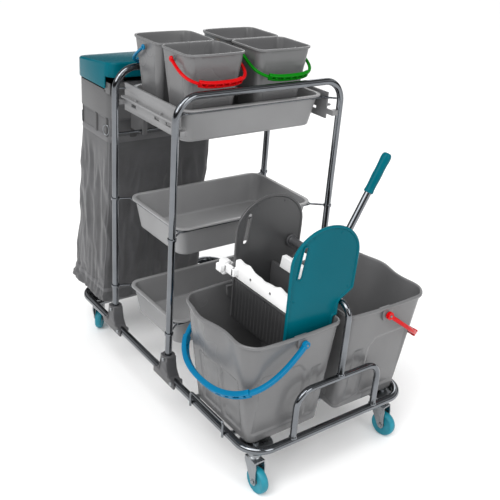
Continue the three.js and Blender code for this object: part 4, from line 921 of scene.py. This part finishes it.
def bag_point(p, centre, share, z):
    """A point of the hanging bag, with folds that run down from the ring and slump towards the floor."""
    fall = 1 - share
    out = (p - centre).normalized()
    depth = smooth(fall, 0.04, 0.3)

    def wave(across, down):
        return noise.noise(Vector((p.x / across, p.y / across, z / down + across)))

    broad = 9 * wave(90, 420) + 5 * (1 - 2 * abs(wave(52, 300)))
    creases = 3.4 * (1 - 3 * abs(wave(30, 120))) + 1.3 * wave(13, 40)
    low = smooth(fall, 0.8, 0.99)
    slump = low * 3.5 * (1 - 3 * abs(wave(24, 16)))
    spread = 15 * smooth(fall, 0.86, 1) ** 2
    return p + out * (depth * (broad * (1 - 0.5 * low) + creases - 5) + slump + spread)


def bag_rings():
    """Outlines of the bag, from its mouth down and in over its floor."""
    rings = []
    for k in range(BAG_ROWS + 1):
        z = BAG_MOUTH + (BAG_BOTTOM + FLOOR_TURN - BAG_MOUTH) * k / BAG_ROWS
        share = min(1, max(0, (z - BAG_BOTTOM) / (BAG_WAIST - BAG_BOTTOM)))
        sides = [foot + (ring + air - foot) * share for ring, air, foot in zip(RING, RING_AIR, BAG_FOOT)]
        ring = rounded(*sides, BAG_CORNER - 14 * (1 - share), z, 12, (34, 56, 34, 56))
        centre = Vector((sum(p.x for p in ring) / len(ring), sum(p.y for p in ring) / len(ring), z))
        rings.append([bag_point(p, centre, share, z) for p in ring])
    last = rings[-1]
    centre = sum(last, Vector()) / len(last)
    for k in range(1, FLOOR_ROWS + 1):
        sine, flat = sin(pi / 2 * min(1, k / TURN_ROWS)), max(0, k - TURN_ROWS)
        shrink = 1 - 0.06 * sine - flat * 0.094
        z = BAG_BOTTOM + FLOOR_TURN * (1 - sine) + (1.4 * sin(k * 1.9) if flat else 0) + flat * 0.2
        rings.append([Vector((centre.x + (p.x - centre.x) * shrink, centre.y + (p.y - centre.y) * shrink, z))
                      for p in last])
    return rings


def make_bag():
    ring = refined("bag_ring", "ring", "trolley", "bucket_plastic", 1.4)
    ring.data.materials[0] = plastic("ring_plastic", "505051", 0.4)
    collars = [box(-346, -311, low, high, 890, 923) for low, high in ((-264, -260), (110, 114))]
    collar = make("ring_collar", collars, "trolley", "bucket_plastic", bevel=1)
    collar.data.materials[0] = ring.data.materials[0]
    refined("bag_lid", "lid", "lid", "teal_plastic", 2.6)
    refined("lid_hinge_pin", "hinge_pin", "trolley", "zinc_steel", 0.5)
    rod = tube([(REAR_X, -270.5, 793), (REAR_X, 270.5, 793)], 1, 8, ALONG, sides=20, flare=4)
    chromed("carrier_bar", rod, "carrier_rod")
    rings = bag_rings()
    bag = make("bag", skin(rings, caps=(False, True)), "trolley", "bag_fabric", ["laundry_bag"], angle=80)
    thicken(bag, 0.0016, -1, "bag_fabric", 80)
    make_bag_trim(rings)


def strip(rings, columns, rows, lift):
    """A narrow band laid on the bag over the given ring columns and rows."""
    points = []
    size, width = len(rings[0]), len(columns)
    for r in rows:
        centre = sum(rings[r], Vector()) / size
        for c in columns:
            p = rings[r][c % size]
            out = Vector((p.x - centre.x, p.y - centre.y, 0)).normalized()
            edge = 0.35 if c in (columns[0], columns[-1]) or r in (rows[0], rows[-1]) else 1
            points.append(tuple(p + out * lift * edge))
    faces = [[r * width + c, r * width + c + 1, (r + 1) * width + c + 1, (r + 1) * width + c]
             for r in range(len(rows) - 1) for c in range(width - 1)]
    return points, faces


def hook(p):
    """A steel ring that hangs from a strap at p."""
    out = Vector((p.x - BAG_MIDDLE[0], p.y - BAG_MIDDLE[1], 0)).normalized()
    side = Vector((-out.y, out.x, 0))
    angles = np.linspace(0, 2 * pi, 25)[:-1]
    loop = [p + out * 4.5 + side * (11 * sin(a)) + Vector((0, 0, 16 * cos(a))) for a in angles]
    return tube(loop, 0.1, 3, tuple(out), True, 10)


def make_bag_trim(rings):
    """Webbing over the seams and round the bag, and straps with hooks under the ring, whose near-black tape
    is partly their own colour and partly painted shade under the ring.
    """
    size = len(rings[0])

    def nearest(x, y):
        return min(range(size), key=lambda i: (rings[30][i].x - x) ** 2 + (rings[30][i].y - y) ** 2)

    webbing = []
    for spot in SEAMS:
        c = nearest(*spot)
        webbing.append(strip(rings, range(c - 1, c + 2), range(8, BAG_ROWS), 2.2))
    for low, high, lift in ((0, 3, 1.3), (9, 12, 1.3), (103, 106, 1.3), (19, 23, 2.4)):
        webbing.append(strip(rings, range(size + 1), range(low, high), lift))
    straps, hooks = [], []
    for x, y, hooked in STRAPS:
        c = nearest(x, y)
        straps.append(strip(rings, range(c - 2, c + 3), range(9, 21), 3.0))
        if hooked:
            hooks.append(hook(rings[16][c]))
    make("bag_hooks", hooks, "trolley", "zinc_steel")
    # The straps' near-black tape is partly painted shade: it darkens the band of bag just under the ring,
    # where shade falls.
    for name, bands, slot, tape_and_shade in (
            ("bag_webbing", webbing, "bag_fabric", "58585a"),
            ("bag_straps_painted_shade", straps, "dark_plastic", "2c2c2d")):
        trim = make(name, bands, "trolley", slot, angle=70)
        thicken(trim, 0.0012, -0.4, slot, 70)
        trim.data.materials[0] = weave(f"{name}_tape", tape_and_shade, 0.0012)


# ------------ casters
CASTER_PLACE, WHEEL_TRAIL, WHEEL_RADIUS = (465, 235), 22, 38
CASTER_YAW = {"front_left": 0, "front_right": 0.15, "rear_left": 2.48, "rear_right": 2.9}
TREAD = [(27.2, -9.6), (30, -10.6), (33.4, -10.9), (35.6, -9.8), (37.2, -6.6), (37.9, -2.6)]
HUB = [(4.5, -11.4), (8.6, -11.4), (9.4, -10.6), (9.8, -8), (12, -7.2), (22, -7.6), (25.4, -9.2),
       (27.4, -9.4)]
RACE = [(8, 101), (17, 101), (18.5, 103), (18.5, 108), (16, 111), (16, 114), (20, 116), (20, 120), (17, 123),
        (17, 138), (8, 138)]


def mirrored(profile, *middle):
    return [*profile, *middle, *((r, -h) for r, h in reversed(profile))]


def make_casters():
    wheel = (WHEEL_TRAIL, 0, WHEEL_RADIUS)
    tyre = turned(mirrored(TREAD, (WHEEL_RADIUS, 0)), wheel, "y", 64)
    core = turned(mirrored(HUB), wheel, "y", 48)
    race = turned(RACE, (0, 0, 0), "z", 40)
    for place, (sx, sy) in CORNERS.items():
        pose = (Matrix.Translation((sx * CASTER_PLACE[0], sy * CASTER_PLACE[1], 0))
                @ Matrix.Rotation(CASTER_YAW[place], 4, "Z"))
        caster, turning = f"caster_{place}", f"wheel_{place}"
        refined(f"caster_fork_{place}", f"fork_{place}", caster, "zinc_steel", 1.3)
        refined(f"caster_axle_{place}", f"axle_{place}", caster, "zinc_steel", 0.8)
        make(f"tyre_{place}", moved(tyre, pose), turning, "teal_tyre", [f"caster_wheel_{place}"])
        make(f"hub_{place}", moved(core, pose), turning, "clamp_plastic")
        make(f"race_{place}", moved(race, pose), caster, "zinc_steel")


make_chassis()
make_trays()
make_pails()
make_mop_buckets()
make_wringer()
make_bag()
make_casters()

# ------------ studio


def add_floor():
    mesh = bpy.data.meshes.new("floor")
    bm = bmesh.new()
    bmesh.ops.create_circle(bm, cap_ends=True, radius=30, segments=64)
    bm.to_mesh(mesh)
    bm.free()
    n = Nodes(bpy.data.materials.new("floor_paint"))
    n.set(Roughness=0.9, Specular_IOR_Level=0.1, Base_Color=(0.93, 0.93, 0.93, 1))
    mesh.materials.append(n.owner)
    add_object("floor", mesh)


def add_light(name, place, aim, size, power):
    data = bpy.data.lights.new(name, "AREA")
    data.shape, data.size, data.size_y = "RECTANGLE", *size
    data.energy = power
    light = add_object(name, data)
    light.location = place
    light.rotation_euler = (Vector(aim) - Vector(place)).to_track_quat("-Z", "Y").to_euler()


def add_sun(towards, strength, spread):
    data = bpy.data.lights.new("sun", "SUN")
    data.energy, data.angle = strength, radians(spread)
    add_object("sun", data).rotation_euler = Vector(towards).to_track_quat("Z", "Y").to_euler()


def add_world():
    """Bands of light and dark for gloss to mirror, even light for the rest, and white behind the object."""
    scene.world = bpy.data.worlds.new("studio")
    n = Nodes(scene.world, "Generated")
    height = n.add("ShaderNodeSeparateXYZ", Vector=n.place).outputs["Z"]
    greys = ((0, 0.9), (0.5, 0.9), (0.52, 0.05), (0.63, 0.08), (0.67, 0.95), (0.77, 1), (0.81, 0.2), (1, 0.4))
    bands = n.ramp(n.span(height, 0, 1, -1, 1), [(at, (grey, grey, grey, 1)) for at, grey in greys])
    rays = n.add("ShaderNodeLightPath").outputs
    lit = n.mix(rays["Is Glossy Ray"], (0.95, 0.95, 0.95, 1), bands)
    seen = n.mix(rays["Is Camera Ray"], lit, (1.5, 1.5, 1.5, 1))
    background = n.tree.nodes["Background"]
    n.feed(seen, background.inputs["Color"])
    background.inputs["Strength"].default_value = 0.74


add_floor()
add_world()
add_light("key", (0.6, -3.4, 3.2), (0, 0, 0.45), (2.6, 2.0), 60)
add_light("side", (3.6, 0.6, 2.2), (0.2, 0, 0.4), (1.6, 2.4), 34)
add_light("rear", (-2.6, 2.4, 2.8), (0, 0, 0.6), (1.6, 1.6), 22)
add_sun((0.5, -0.75, 1.5), 1.5, 40)
scene.view_settings.view_transform = "Standard"
